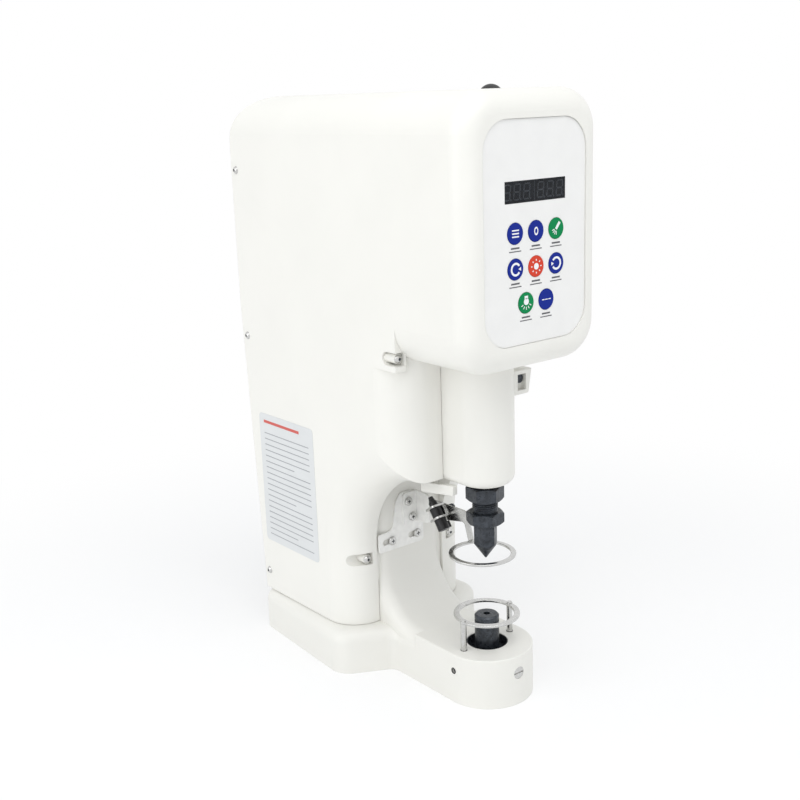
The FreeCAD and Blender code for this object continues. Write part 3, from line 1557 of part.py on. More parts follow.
def lamp_strip(margin, low, high, radius):
    """An outline along the lamp's underside, from and to heights above it."""
    front = lamp_front + margin
    back = lamp_back - margin
    return [(front, lamp_underside(front) + low, radius), (back, lamp_underside(back) + low, radius),
            (back, lamp_underside(back) + high, radius), (front, lamp_underside(front) + high, radius)]


def lamp_screw_spot():
    """Where the lamp's screw goes through its tab: y and z."""
    return lamp_back - lamp_screw_inset, throat_ceiling - lamp_screw_drop


def lamp_housing():
    """The slim work lamp under the neck, with a tab up to the frame's top arm."""
    block = prism(lamp_strip(0, 0, lamp_height, lamp_round), flat_yz(lamp_left), V(lamp_width, 0, 0))
    tab = box((lamp_left, lamp_back - lamp_tab_length, lamp_underside(lamp_back) + lamp_height - overrun),
              (lamp_left + lamp_tab_thickness, lamp_back - lamp_round, throat_ceiling))
    well = prism(lamp_strip(lens_margin, -overrun, lens_thickness, 0), flat_yz(lamp_left + lens_side_margin),
                 V(lamp_width - 2 * lens_side_margin, 0, 0))
    y, z = lamp_screw_spot()
    hole = rod(small_shank, (lamp_left - overrun, y, z), X, lamp_tab_thickness + 2 * overrun)
    return fused([block, tab]).cut([well, hole])


def lamp_lens():
    """The lamp's clear strip, flush with its underside."""
    return prism(lamp_strip(lens_margin, 0, lens_thickness, 0), flat_yz(lamp_left + lens_side_margin),
                 V(lamp_width - 2 * lens_side_margin, 0, 0))


def lamp_screw():
    """The dome-headed screw on the lamp's tab."""
    y, z = lamp_screw_spot()
    return dome_screw((lamp_left, y, z), X, small_head_height + lamp_tab_thickness)


def top_plug():
    """The low domed plug in the hood's top."""
    radius = (top_plug_radius ** 2 + top_plug_rise ** 2) / (2 * top_plug_rise)
    ball = Part.makeSphere(radius, V(0, plug_top_y, head_top + top_plug_rise - radius))
    dome = ball.common(rod(top_plug_radius, (0, plug_top_y, head_top), Z, top_plug_rise))
    stem = rod(top_plug_stem, (0, plug_top_y, head_top - top_plug_stem_length), Z, top_plug_stem_length)
    return fused([dome, stem])


def drive_unit():
    """The power supply and motor drive in one finned case, on the column's back."""
    case = prism(rectangle(-drive_half, drive_half, drive_bottom, drive_top, drive_round),
                 flat_xz(column_back), V(0, drive_depth, 0))
    tools = []
    pitch = 2 * drive_half / (drive_fin_count + 1)
    for i in range(drive_fin_count):
        x = (i + 1) * pitch - drive_half
        tools.append(box((x - drive_fin_width / 2, column_back + drive_depth - drive_fin_depth,
                          drive_bottom - overrun),
                         (x + drive_fin_width / 2, column_back + drive_depth + overrun,
                          drive_top + overrun)))
    return case.cut(tools)


def save(name, shape):
    """Writes one sub-part to its own file."""
    if not shape.isValid():
        print("not valid:", name)
    shape.exportStep("parts/" + name + ".step")


def main():
    os.makedirs("parts", exist_ok=True)
    save("frame_casting", frame_casting())
    save("hood", hood())
    save("rear_cover", rear_cover())
    save("hood_side_screws", hood_side_screws())
    save("hood_front_screws", hood_front_screws())
    save("control_panel", control_panel())
    save("display_window", display_window())
    save("display_module", display_module())
    for number, (x, z) in enumerate(key_spots()):
        save("key_" + str(number + 1), key_cap(x, z))
    save("control_board", control_board())
    save("key_switches", key_switches())
    save("board_standoffs", board_standoffs())
    save("ram_housing", ram_housing())
    save("housing_screws", housing_screws())
    save("ram_bush", ram_bush())
    save("ram_key", ram_key())
    save("ram", ram())
    save("ball_nut", ball_nut())
    save("ball_screw", ball_screw())
    save("bearing_block", bearing_block())
    save("screw_bearing", screw_bearing())
    save("shaft_coupling", shaft_coupling())
    save("motor_bracket", motor_bracket())
    save("motor_body", motor_body())
    save("motor_screws", motor_screws())
    save("motor_rotor", motor_rotor())
    save("upper_lock_nut", lock_nut(upper_nut_bottom, upper_nut_top, upper_nut_turn))
    save("lower_lock_nut", lock_nut(lower_nut_bottom, lower_nut_top, lower_nut_turn))
    save("die_stud", die_stud())
    save("upper_punch", upper_punch())
    save("lower_die", lower_die())
    save("die_set_screw", die_set_screw())
    save("nose_plug", nose_plug())
    save("lower_guard_ring", lower_guard_ring())
    save("guard_posts", guard_posts())
    save("bracket_plate", bracket_plate())
    save("bracket_screws", bracket_screws())
    save("bracket_joint_screws", bracket_joint_screws())
    save("laser_bracket", laser_bracket())
    save("upper_guard", upper_guard())
    save("laser_module", laser_module())
    save("laser_clamp", laser_clamp())
    save("clamp_screw", clamp_screw())
    save("lamp_housing", lamp_housing())
    save("lamp_lens", lamp_lens())
    save("lamp_screw", lamp_screw())
    save("top_plug", top_plug())
    save("drive_unit", drive_unit())
    save("power_inlet", power_inlet())
    save("power_switch", power_switch())
    save("switch_rocker", switch_rocker())
    save("pedal_socket", pedal_socket())


main()
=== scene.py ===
import json
import math

import bmesh
import bpy
from mathutils import Matrix, Vector

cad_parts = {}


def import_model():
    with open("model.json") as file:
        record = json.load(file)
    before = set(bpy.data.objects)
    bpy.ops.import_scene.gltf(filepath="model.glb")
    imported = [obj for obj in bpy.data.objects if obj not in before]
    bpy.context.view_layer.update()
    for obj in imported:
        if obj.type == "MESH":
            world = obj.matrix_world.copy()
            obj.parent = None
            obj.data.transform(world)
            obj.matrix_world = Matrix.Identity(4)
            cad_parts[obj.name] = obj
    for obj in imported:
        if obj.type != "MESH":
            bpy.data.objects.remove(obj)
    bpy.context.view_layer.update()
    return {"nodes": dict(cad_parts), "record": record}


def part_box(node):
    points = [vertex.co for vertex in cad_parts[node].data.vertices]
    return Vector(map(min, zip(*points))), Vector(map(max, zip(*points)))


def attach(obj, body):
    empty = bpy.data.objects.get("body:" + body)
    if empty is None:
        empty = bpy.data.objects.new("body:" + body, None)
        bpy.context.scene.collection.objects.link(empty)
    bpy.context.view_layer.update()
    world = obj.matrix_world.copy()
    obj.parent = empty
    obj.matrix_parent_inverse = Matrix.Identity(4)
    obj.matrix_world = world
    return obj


# Looks of the eyelet machine. Metres, in the CAD's own frame: +Z up, the keypad faces -Y.

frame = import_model()
nodes = frame["nodes"]

MM = 0.001

# Camera, at the photograph's place; angles in degrees
camera_place = Vector((-741.3, -804.0, 598.4)) * MM
camera_yaw = 38.43
camera_pitch = -14.77
camera_roll = -1.972
camera_lens = 52.29
camera_sensor = 36.0
camera_near = 0.01
camera_far = 50.0

# Tones, linear
hood_white = (0.84, 0.83, 0.785)
casting_cream = (0.815, 0.805, 0.76)
housing_white = (0.82, 0.81, 0.765)
sheet_white = (0.78, 0.775, 0.74)
panel_grey = (0.85, 0.845, 0.83)
print_white = (0.88, 0.89, 0.90)
print_blue = (0.006, 0.022, 0.26)
print_green = (0.0, 0.23, 0.07)
print_red = (0.66, 0.06, 0.03)
ink_grey = (0.33, 0.34, 0.36)
ink_dark = (0.10, 0.10, 0.11)
ink_red = (0.62, 0.10, 0.08)
label_grey = (0.70, 0.715, 0.72)
oxide_black = (0.021, 0.024, 0.029)
plastic_black = (0.014, 0.014, 0.015)
window_black = (0.010, 0.013, 0.018)
segment_grey = (0.50, 0.55, 0.60)
pale_grey = (0.93, 0.925, 0.90)
steel_grey = (0.56, 0.56, 0.55)
bright_grey = (0.64, 0.64, 0.63)
bronze_tone = (0.52, 0.33, 0.13)
board_green = (0.02, 0.13, 0.05)
lens_tone = (0.86, 0.87, 0.88)
pure_white = (1.0, 1.0, 1.0, 1.0)

# Shaders: the part of a noise's range that is used, and how finely edges are softened
noise_low = 0.3
noise_high = 0.7
bevel_samples = 4

# Directions in which marks are raised
forward = Vector((0.0, -1.0, 0.0))
leftward = Vector((-1.0, 0.0, 0.0))

# Turned and printed pieces
lathe_steps = 96
weld_distance = 0.01 * MM
mark_thickness = 0.12 * MM
ring_steps = 28
corner_steps = 8

# Signs on the keys. A turned bar is its length, its width and its distance from the centre.
key_count = 8
list_half_width = 4.2 * MM
list_half_height = 0.6 * MM
list_levels = (-2.8 * MM, 0.0, 2.8 * MM)
zero_inner = 1.5 * MM
zero_outer = 2.5 * MM
zero_tall = 1.5
beam_slant = 52.0
beam_pointer = (7.6 * MM, 2.6 * MM, -0.8 * MM)
beam_ray = (3.4 * MM, 0.7 * MM, 2.4 * MM)
beam_turns = (-36, -12, 12, 36)
arrow_inner = 4.2 * MM
arrow_outer = 6.1 * MM
arrow_start = 34.0
arrow_sweep = 292.0
arrow_tip = 3.3 * MM
arrow_base = 6.4 * MM
arrow_half = 1.7 * MM
sun_radius = 2.9 * MM
sun_ray = (1.5 * MM, 1.0 * MM, 5.0 * MM)
sun_ray_count = 8
bulb_radius = 3.1 * MM
bulb_lift = 1.2 * MM
bulb_cap_half = 2.1 * MM
bulb_cap_low = 3.6 * MM
bulb_cap_high = 6.4 * MM
bulb_ray = (2.6 * MM, 0.8 * MM, 4.4 * MM)
bulb_ray_lift = 0.8 * MM
bulb_turns = (-60, -30, 0, 30, 60)
dash_half_width = 1.6 * MM
dash_half_height = 0.4 * MM
dash_centres = (-4.0 * MM, 0.0, 4.0 * MM)

# Strokes under each key, in place of a caption: half length, half height, and drop below the key
caption_strokes = [(5.2 * MM, 0.75 * MM, 3.4 * MM), (7.4 * MM, 0.45 * MM, 6.3 * MM)]
key_flange_margin = 1.2 * MM

# Display: two groups of digits, one on each side of the joint in the middle
group_digits = 3
first_digit = 8.6 * MM
digit_height = 13.2 * MM
digit_width = 7.2 * MM
digit_pitch = 11.9 * MM
digit_slant = 0.10
divider_half = 0.25 * MM
segment_width = 1.2 * MM
segment_gap = 0.35 * MM
segment_depth = 0.08 * MM
dot_half = 0.75 * MM

# Thread on the stud, where it shows between the nuts
thread_pitch = 2.0 * MM
thread_height = 0.9 * MM
thread_bury = 0.3 * MM
thread_turn_steps = 48

# Black seat in the recess round the die
seat_gap = 0.2 * MM
seat_wall = 0.6 * MM
seat_floor = 0.8 * MM
seat_drop = 0.5 * MM
recess_radius = 21.2 * MM
recess_floor = 41.7 * MM
deck_height = 52.7 * MM
die_radius = 12.5 * MM

# Boot where the laser's lead leaves: radius and height along its axis
laser_place = Vector((-0.5, 73.8, 172.2)) * MM
laser_lean = 55.0
boot_profile = [
    (0.0, 11.5 * MM), (3.9 * MM, 11.5 * MM), (3.9 * MM, 13.0 * MM), (3.2 * MM, 13.5 * MM),
    (3.2 * MM, 14.9 * MM), (2.8 * MM, 15.2 * MM), (2.4 * MM, 18.0 * MM), (0.0, 18.0 * MM)]

# Filler between the column's rounded edges and the hood's throat: the column's front line, then the hood's.
# The arcs' centres are y and z.
column_front = 120.0 * MM
sweep_centre = Vector((60.0, 112.7)) * MM
corner_centre = Vector((75.0, 191.0)) * MM
throat_centre = Vector((29.0, 136.0)) * MM
throat_radius = 92.0 * MM
filler_low = 76.0 * MM
filler_high = 228.0 * MM
filler_steps = 40
filler_inner = 37.0 * MM
filler_outer = 45.25 * MM
filler_back = 134.5 * MM
filler_sink = 4.0 * MM
filler_margin = 3.0 * MM

# Painted shade: dark crosses set deep in the crossed recesses of the bracket's screws, for the shade that
# falls in them: the body that carries them, and each x and z in mm
pan_shade_spots = {"bracket_screws": ("base", [(-27.5, 135.6), (7.3, 135.6)]),
             "bracket_joint_screws": ("bracket", [(-5.1, 175.4), (-0.3, 157.0)])}
cross_long = 2.0 * MM
cross_half = 0.45 * MM
cross_floor = 1.3 * MM
cross_thickness = 0.9 * MM

# Painted shade: dark discs deep in the sockets of the hood's screws, for the shade that falls in them: y and
# z on each side; name, x, y and z at the front
side_spots = [(292.0, 524.97), (290.21, 344.97), (276.15, 69.97)]
front_spots = [("front_socket_shade_78", 78.5, 29.2, 356.97), ("front_socket_shade_58", 58.0, 119.7, 121.47)]
socket_shade_radius = 1.45 * MM
socket_depth = 1.4 * MM
socket_shade_thickness = 0.4 * MM

# Painted shade: a black ring round the set screw's hole in the nose, where the hole's shade shows: radius,
# and height off its side
hole_shade_place = Vector((-46.5, 0.0, 34.7)) * MM
hole_shade_profile = [(2.2 * MM, -0.4 * MM), (3.3 * MM, -0.4 * MM), (3.3 * MM, 0.15 * MM), (2.2 * MM, 0.15 * MM)]

# Sleeves on the guard's posts, and painted shade: a thin black ring at each post's foot, for the shadow
# crescent there
post_reach = 32.0 * MM
post_radius = 2.2 * MM
post_clearance = 0.02 * MM
sleeve_radius = 3.0 * MM
sleeve_chamfer = 0.3 * MM
foot_shade_radius = 3.5 * MM
foot_shade_thickness = 0.5 * MM

# Floor
floor_half = 6.0
floor_near = 0.35
floor_far = 0.95
floor_glow = 0.45
floor_tone = (0.93, 0.93, 0.93)
floor_centre = (0.0, 0.1, 0.0)

# Light: each lamp's name, place, size and watts
world_strength = 0.80
world_tint = (0.96, 0.98, 1.0, 1.0)
lamp_target = (0.0, 0.08, 0.3)
lamp_table = [
    ("side_lamp", (-2.0, 0.2, 1.0), 1.4, 8.9),
    ("left_lamp", (-1.2, -0.9, 1.9), 1.2, 4.8),
    ("front_lamp", (0.3, -1.3, 2.0), 1.2, 4.0),
    ("top_lamp", (-0.3, -0.9, 2.4), 1.2, 10.0)]

# Plain label on the hood's left side: its corners are y and z. Every sixth line is short, and such lines
# and the head start at a share of the width.
label_low = Vector((173.0, 109.0)) * MM
label_high = Vector((277.0, 260.0)) * MM
label_thickness = 0.25 * MM
label_round = 5.0 * MM
label_line_count = 19
label_line_half = 0.45 * MM
label_margin = 9.0 * MM
label_head_half = 1.6 * MM
label_head_start = 0.2
label_short_every = 6
label_short_start = 0.35


def new_material(name, colour, roughness, metallic=0.0):
    """A node material, and its shader."""
    material = bpy.data.materials.new(name)
    material.use_nodes = True
    shader = material.node_tree.nodes["Principled BSDF"]
    shader.inputs["Base Color"].default_value = (*colour, 1.0)
    shader.inputs["Roughness"].default_value = roughness
    shader.inputs["Metallic"].default_value = metallic
    return material, shader


def noise(material, per_metre, detail=3.0, stretch=(1.0, 1.0, 1.0)):
    """Noise laid over a piece by its own coordinates."""
    tree = material.node_tree
    place = tree.nodes.new("ShaderNodeTexCoord")
    scale = tree.nodes.new("ShaderNodeMapping")
    scale.inputs["Scale"].default_value = stretch
    texture = tree.nodes.new("ShaderNodeTexNoise")
    texture.inputs["Scale"].default_value = per_metre
    texture.inputs["Detail"].default_value = detail
    tree.links.new(place.outputs["Object"], scale.inputs["Vector"])
    tree.links.new(scale.outputs["Vector"], texture.inputs["Vector"])
    return texture.outputs["Fac"]


def spread(material, value, low, high):
    """A noise value, mapped onto a range."""
    node = material.node_tree.nodes.new("ShaderNodeMapRange")
    node.inputs["From Min"].default_value = noise_low
    node.inputs["From Max"].default_value = noise_high
    node.inputs["To Min"].default_value = low
    node.inputs["To Max"].default_value = high
    material.node_tree.links.new(value, node.inputs["Value"])
    return node.outputs["Result"]


def mottle(material, shader, first, second, per_metre, detail=4.0, stretch=(1.0, 1.0, 1.0)):
    """Colour that drifts between two tones."""
    tree = material.node_tree
    share = spread(material, noise(material, per_metre, detail, stretch), 0.0, 1.0)
    mix = tree.nodes.new("ShaderNodeMix")
    mix.data_type = "RGBA"
    mix.inputs["A"].default_value = (*first, 1.0)
    mix.inputs["B"].default_value = (*second, 1.0)
    tree.links.new(share, mix.inputs["Factor"])
    tree.links.new(mix.outputs["Result"], shader.inputs["Base Color"])


def roughen(material, shader, low, high, per_metre, detail=4.0, stretch=(1.0, 1.0, 1.0)):
    """Gloss that varies over the surface."""
    value = noise(material, per_metre, detail, stretch)
    material.node_tree.links.new(spread(material, value, low, high), shader.inputs["Roughness"])


def relief(material, shader, layers, edge):
    """Softens edges to a small radius and lays fine bumps over them: a height and its depth in metres."""
    tree = material.node_tree
    bevel = tree.nodes.new("ShaderNodeBevel")
    bevel.samples = bevel_samples
    bevel.inputs["Radius"].default_value = edge
    normal = bevel.outputs["Normal"]
    for height, depth in layers:
        bump = tree.nodes.new("ShaderNodeBump")
        bump.inputs["Strength"].default_value = 1.0
        bump.inputs["Distance"].default_value = depth
        tree.links.new(height, bump.inputs["Height"])
        tree.links.new(normal, bump.inputs["Normal"])
        normal = bump.outputs["Normal"]
    tree.links.new(normal, shader.inputs["Normal"])


def bands(material, per_metre, distortion=0.6):
    """Fine turning marks across the upright axis."""
    tree = material.node_tree
    place = tree.nodes.new("ShaderNodeTexCoord")
    wave = tree.nodes.new("ShaderNodeTexWave")
    wave.bands_direction = "Z"
    wave.inputs["Scale"].default_value = per_metre
    wave.inputs["Distortion"].default_value = distortion
    tree.links.new(place.outputs["Object"], wave.inputs["Vector"])
    return wave.outputs["Fac"]


def tinted(colour, factor):
    """A colour made lighter or darker."""
    return tuple(channel * factor for channel in colour)


def painted(name, colour, roughness, peel, peel_depth, edge):
    """Sprayed paint: a slight orange peel over long, soft waves."""
    material, shader = new_material(name, colour, roughness)
    mottle(material, shader, colour, tinted(colour, 0.975), per_metre=14.0)
    roughen(material, shader, low=roughness - 0.05, high=roughness + 0.06, per_metre=60.0)
    shader.inputs["Specular IOR Level"].default_value = 0.45
    shader.inputs["Coat Weight"].default_value = 0.12
    shader.inputs["Coat Roughness"].default_value = 0.25
    layers = [(noise(material, per_metre=9.0, detail=2.0), 120e-6),
              (noise(material, per_metre=peel, detail=2.0), peel_depth)]
    relief(material, shader, layers, edge)
    return material


def casting():
    """Cream paint over filled cast iron, with a coarser skin than the hood's."""
    return painted("cream_cast_paint", casting_cream, roughness=0.42, peel=420.0, peel_depth=16e-6,
                   edge=0.9 * MM)


def hood_shell():
    """The hood's smooth white shell."""
    return painted("white_shell", hood_white, roughness=0.36, peel=700.0, peel_depth=5e-6,
                   edge=0.8 * MM)


def housing_iron():
    """Paint over the ram housing's iron: smoother than the casting's."""
    return painted("housing_paint", housing_white, roughness=0.38, peel=520.0, peel_depth=8e-6,
                   edge=0.8 * MM)


def lamp_body():
    """The lamp's fine paint."""
    return painted("lamp_paint", casting_cream, roughness=0.36, peel=700.0, peel_depth=5e-6,
                   edge=0.5 * MM)


def sheet_steel():
    """Powder coat: a fine, even grain."""
    material, shader = new_material("powder_coat", sheet_white, roughness=0.55)
    mottle(material, shader, sheet_white, tinted(sheet_white, 0.96), per_metre=30.0)
    relief(material, shader, [(noise(material, per_metre=1500.0, detail=3.0), 25e-6)], edge=0.4 * MM)
    return material


def bright_steel():
    """Polished, plated steel with faint drawn scratches."""
    material, shader = new_material("bright_steel", bright_grey, roughness=0.2, metallic=1.0)
    mottle(material, shader, bright_grey, tinted(bright_grey, 0.86), per_metre=160.0)
    roughen(material, shader, low=0.14, high=0.32, per_metre=500.0, detail=6.0)
    relief(material, shader, [(noise(material, per_metre=1600.0, detail=4.0), 4e-6)], edge=0.35 * MM)
    return material


def machined_steel():
    """Ground steel: brushed along the sheet, duller than the plated pieces."""
    material, shader = new_material("machined_steel", steel_grey, roughness=0.34, metallic=1.0)
    mottle(material, shader, steel_grey, tinted(steel_grey, 0.8), per_metre=220.0, detail=5.0,
           stretch=(1.0, 1.0, 6.0))
    roughen(material, shader, low=0.26, high=0.46, per_metre=420.0, detail=6.0, stretch=(1.0, 1.0, 8.0))
    grain = noise(material, per_metre=900.0, detail=4.0, stretch=(0.3, 1.0, 6.0))
    relief(material, shader, [(grain, 8e-6)], edge=0.3 * MM)
    return material


def pale_steel():
    """Bead-blasted, plated sheet: pale and even, with a soft sheen."""
    material, shader = new_material("pale_steel", pale_grey, roughness=0.40, metallic=0.08)
    mottle(material, shader, pale_grey, tinted(pale_grey, 0.9), per_metre=180.0, detail=5.0)
    roughen(material, shader, low=0.36, high=0.5, per_metre=500.0, detail=5.0)
    relief(material, shader, [(noise(material, per_metre=1900.0, detail=3.0), 6e-6)], edge=0.35 * MM)
    return material


def black_oxide():
    """Blackened steel: a blue-black skin, a little worn and with fine turning marks."""
    material, shader = new_material("black_oxide", oxide_black, roughness=0.38, metallic=0.55)
    mottle(material, shader, oxide_black, tinted(oxide_black, 2.8), per_metre=240.0, detail=6.0)
    roughen(material, shader, low=0.22, high=0.46, per_metre=380.0, detail=5.0)
    shader.inputs["Specular IOR Level"].default_value = 0.6
    layers = [(bands(material, per_metre=380.0), 5e-6),
              (noise(material, per_metre=1300.0, detail=4.0), 16e-6)]
    relief(material, shader, layers, edge=0.5 * MM)
    return material


def moulded(name, colour, roughness, grain, edge):
    """Moulded plastic with a fine spark texture."""
    material, shader = new_material(name, colour, roughness)
    mottle(material, shader, colour, tinted(colour, 1.15), per_metre=90.0)
    roughen(material, shader, low=roughness - 0.06, high=roughness + 0.08, per_metre=240.0)
    relief(material, shader, [(noise(material, per_metre=2200.0, detail=3.0), grain)], edge)
    return material


def black_plastic():
    """Black plastic of the plug, the sockets and the small fittings."""
    return moulded("black_plastic", plastic_black, roughness=0.42, grain=12e-6, edge=0.4 * MM)


def laser_body():
    """Black anodised metal."""
    colour = tinted(plastic_black, 1.3)
    material, shader = new_material("black_anodised", colour, roughness=0.33, metallic=0.4)
    roughen(material, shader, low=0.26, high=0.42, per_metre=320.0)
    relief(material, shader, [(noise(material, per_metre=1800.0, detail=3.0), 6e-6)], edge=0.4 * MM)
    return material


def circuit_board():
    """Green lacquer."""
    return moulded("board_lacquer", board_green, roughness=0.32, grain=4e-6, edge=0.2 * MM)


def overlay(name, colour, gloss=0.4):
    """Printed polyester with a fine emboss."""
    material, shader = new_material(name, colour, roughness=0.34)
    shader.inputs["Specular IOR Level"].default_value = gloss
    mottle(material, shader, colour, tinted(colour, 0.97), per_metre=40.0)
    roughen(material, shader, low=0.30, high=0.40, per_metre=160.0)
    relief(material, shader, [(noise(material, per_metre=2600.0, detail=2.0), 4e-6)], edge=0.3 * MM)
    return material


def smoked_window():
    """Smoked acrylic that lets a little of the display through."""
    material, shader = new_material("smoked_window", window_black, roughness=0.12)
    shader.inputs["Alpha"].default_value = 0.5
    shader.inputs["Specular IOR Level"].default_value = 0.3
    roughen(material, shader, low=0.09, high=0.17, per_metre=120.0)
    relief(material, shader, [(noise(material, per_metre=60.0, detail=2.0), 10e-6)], edge=0.2 * MM)
    return material


def bronze():
    """Turned bronze of the bush."""
    material, shader = new_material("bronze", bronze_tone, roughness=0.36, metallic=1.0)
    mottle(material, shader, bronze_tone, tinted(bronze_tone, 0.75), per_metre=200.0)
    relief(material, shader, [(bands(material, per_metre=500.0), 6e-6)], edge=0.3 * MM)
    return material


def aluminium():
    """Turned aluminium."""
    colour = tinted(bright_grey, 1.02)
    material, shader = new_material("turned_aluminium", colour, roughness=0.32, metallic=1.0)
    roughen(material, shader, low=0.26, high=0.42, per_metre=400.0)
    relief(material, shader, [(bands(material, per_metre=520.0), 5e-6)], edge=0.3 * MM)
    return material


def motor_paint():
    """Black paint with a fine grain."""
    return moulded("motor_paint", tinted(plastic_black, 2.0), roughness=0.45, grain=14e-6, edge=0.4 * MM)


def clear_lens():
    """Frosted lamp lens."""
    material, shader = new_material("frosted_lens", lens_tone, roughness=0.35)
    shader.inputs["Transmission Weight"].default_value = 0.55
    roughen(material, shader, low=0.3, high=0.45, per_metre=500.0)
    relief(material, shader, [(noise(material, per_metre=900.0, detail=2.0), 12e-6)], edge=0.2 * MM)
    return material


def ink(name, colour):
    """A printed mark: a little matter than what it is printed on."""
    material, shader = new_material(name, colour, roughness=0.4)
    mottle(material, shader, colour, tinted(colour, 0.95), per_metre=300.0)
    roughen(material, shader, low=0.36, high=0.46, per_metre=500.0)
    return material


def make_materials():
    """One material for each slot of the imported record."""
    return {
        "casting": casting(),
        "hood_shell": hood_shell(),
        "sheet_steel": sheet_steel(),
        "bright_steel": bright_steel(),
        "pale_steel": pale_steel(),
        "panel_plate": overlay("panel_overlay", panel_grey),
        "smoked_window": smoked_window(),
        "black_plastic": black_plastic(),
        "circuit_board": circuit_board(),
        "blue_key": overlay("blue_key_print", print_blue, gloss=0.12),
        "green_key": overlay("green_key_print", print_green, gloss=0.12),
        "red_key": overlay("red_key_print", print_red, gloss=0.12),
        "housing_iron": housing_iron(),
        "black_oxide": black_oxide(),
        "bronze": bronze(),
        "machined_steel": machined_steel(),
        "aluminium": aluminium(),
        "motor_paint": motor_paint(),
        "laser_body": laser_body(),
        "lamp_body": lamp_body(),
        "clear_lens": clear_lens(),
    }


def dress_nodes(materials):
    """Gives every CAD node the material of its slot."""
    for entry in frame["record"]["subparts"]:
        node = nodes[entry["node"]]
        if not node.material_slots:
            node.data.materials.append(None)
        for place in node.material_slots:
            place.material = materials[entry["material_slot"]]


def mesh_piece(name, mesh, material, body):
    """Links a finished bmesh as a piece that rides on a body."""
    data = bpy.data.meshes.new(name)
    bmesh.ops.recalc_face_normals(mesh, faces=mesh.faces)
    mesh.to_mesh(data)
    mesh.free()
    piece = bpy.data.objects.new(name, data)
    bpy.context.scene.collection.objects.link(piece)
    data.materials.append(material)
    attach(piece, body)


def skin(mesh, rows, joined=False):
    """Faces between neighbouring closed rows of points; the ends are joined or capped."""
    rows = [[mesh.verts.new(point) for point in row] for row in rows]
    pairs = list(zip(rows, rows[1:]))
    if joined:
        pairs.append((rows[-1], rows[0]))
    else:
        mesh.faces.new(rows[0])
        mesh.faces.new(rows[-1])
    for first, second in pairs:
        count = len(first)
        for i in range(count):
            j = (i + 1) % count
            mesh.faces.new((first[i], first[j], second[j], second[i]))


def lathed(name, profile, place, material, body):
    """Turns a profile of (radius, height) round an axis; a matrix puts it in place."""
    mesh = bmesh.new()
    rows = []
    for i in range(lathe_steps):
        angle = math.tau * i / lathe_steps
        rows.append([place @ Vector((radius * math.cos(angle), radius * math.sin(angle), height))
                     for radius, height in profile])
    skin(mesh, rows, True)
    bmesh.ops.remove_doubles(mesh, verts=mesh.verts, dist=weld_distance)
    mesh_piece(name, mesh, material, body)


def flat_marks(name, polygons, place, travel, material, body):
    """Thin raised marks: polygons of (u, v), placed in space and pushed along a vector."""
    mesh = bmesh.new()
    for polygon in polygons:
        low = [place(u, v) for u, v in polygon]
        skin(mesh, [low, [point + travel for point in low]])
    mesh_piece(name, mesh, material, body)


def facing_front(x, y, z):
    """Puts (u, v) on an upright plane across the object, measured from a point."""
    def place(u, v):
        return Vector((x + u, y, z + v))

    return place


def facing_side(x):
    """Puts (u, v) on an upright plane along the object: u runs back and v up."""
    def place(u, v):
        return Vector((x, u, v))

    return place


def bar(low_u, high_u, low_v, high_v):
    """A rectangle."""
    return [(low_u, low_v), (high_u, low_v), (high_u, high_v), (low_u, high_v)]


def turned_bar(length, width, reach, angle):
    """A bar that starts at a distance from the centre and points outwards."""
    ahead = Vector((math.cos(angle), math.sin(angle)))
    aside = Vector((-ahead.y, ahead.x)) * width / 2
    start = ahead * reach
    end = ahead * (reach + length)
    return [tuple(start - aside), tuple(end - aside), tuple(end + aside), tuple(start + aside)]


def ring_band(inner, outer, start=0.0, sweep=360.0, tall=1.0):
    """A ring, or a part of one, as a row of four-sided pieces; tall stretches it upright."""
    pieces = []
    for i in range(ring_steps):
        a = math.radians(start + sweep * i / ring_steps)
        b = math.radians(start + sweep * (i + 1) / ring_steps)
        pieces.append([
            (inner * math.cos(a), tall * inner * math.sin(a)),
            (outer * math.cos(a), tall * outer * math.sin(a)),
            (outer * math.cos(b), tall * outer * math.sin(b)),
            (inner * math.cos(b), tall * inner * math.sin(b))])
    return pieces


def disc(radius):
    """A round polygon."""
    return [(radius * math.cos(math.tau * i / ring_steps), radius * math.sin(math.tau * i / ring_steps))
            for i in range(ring_steps)]


def moved(polygons, u, v):
    """Polygons shifted by (u, v)."""
    return [[(a + u, b + v) for a, b in polygon] for polygon in polygons]


def list_marks():
    """Three level bars."""
    return [bar(-list_half_width, list_half_width, v - list_half_height, v + list_half_height)
            for v in list_levels]


def zero_marks():
    """A tall ring: the number 0."""
    return ring_band(zero_inner, zero_outer, tall=zero_tall)


def beam_marks():
    """A slanted pointer with short rays below it."""
    slant = math.radians(beam_slant)
    rays = [turned_bar(*beam_ray, slant + math.pi + math.radians(turn)) for turn in beam_turns]
    return [turned_bar(*beam_pointer, slant)] + rays


def turn_marks(side):
    """A ring open on one side, with an arrowhead in the opening."""
    ring = ring_band(arrow_inner, arrow_outer, arrow_start, arrow_sweep)
    head = [(arrow_tip, 0.0), (arrow_base, arrow_half), (arrow_base, -arrow_half)]
    return [[(side * u, v) for u, v in polygon] for polygon in ring + [head]]


def sun_marks():
    """A disc with short rays all round."""
    rays = [turned_bar(*sun_ray, math.tau * i / sun_ray_count) for i in range(sun_ray_count)]
    return [disc(sun_radius)] + rays


def lamp_marks():
    """A bulb with rays under it."""
    cap = [bar(-bulb_cap_half, bulb_cap_half, bulb_cap_low, bulb_cap_high)]
    bulb = moved([disc(bulb_radius)], 0.0, bulb_lift)
    rays = [turned_bar(*bulb_ray, math.radians(270 + turn)) for turn in bulb_turns]
    return cap + bulb + moved(rays, 0.0, bulb_ray_lift)


def dash_marks():
    """Three short dashes in a row."""
    return [bar(u - dash_half_width, u + dash_half_width, -dash_half_height, dash_half_height)
            for u in dash_centres]


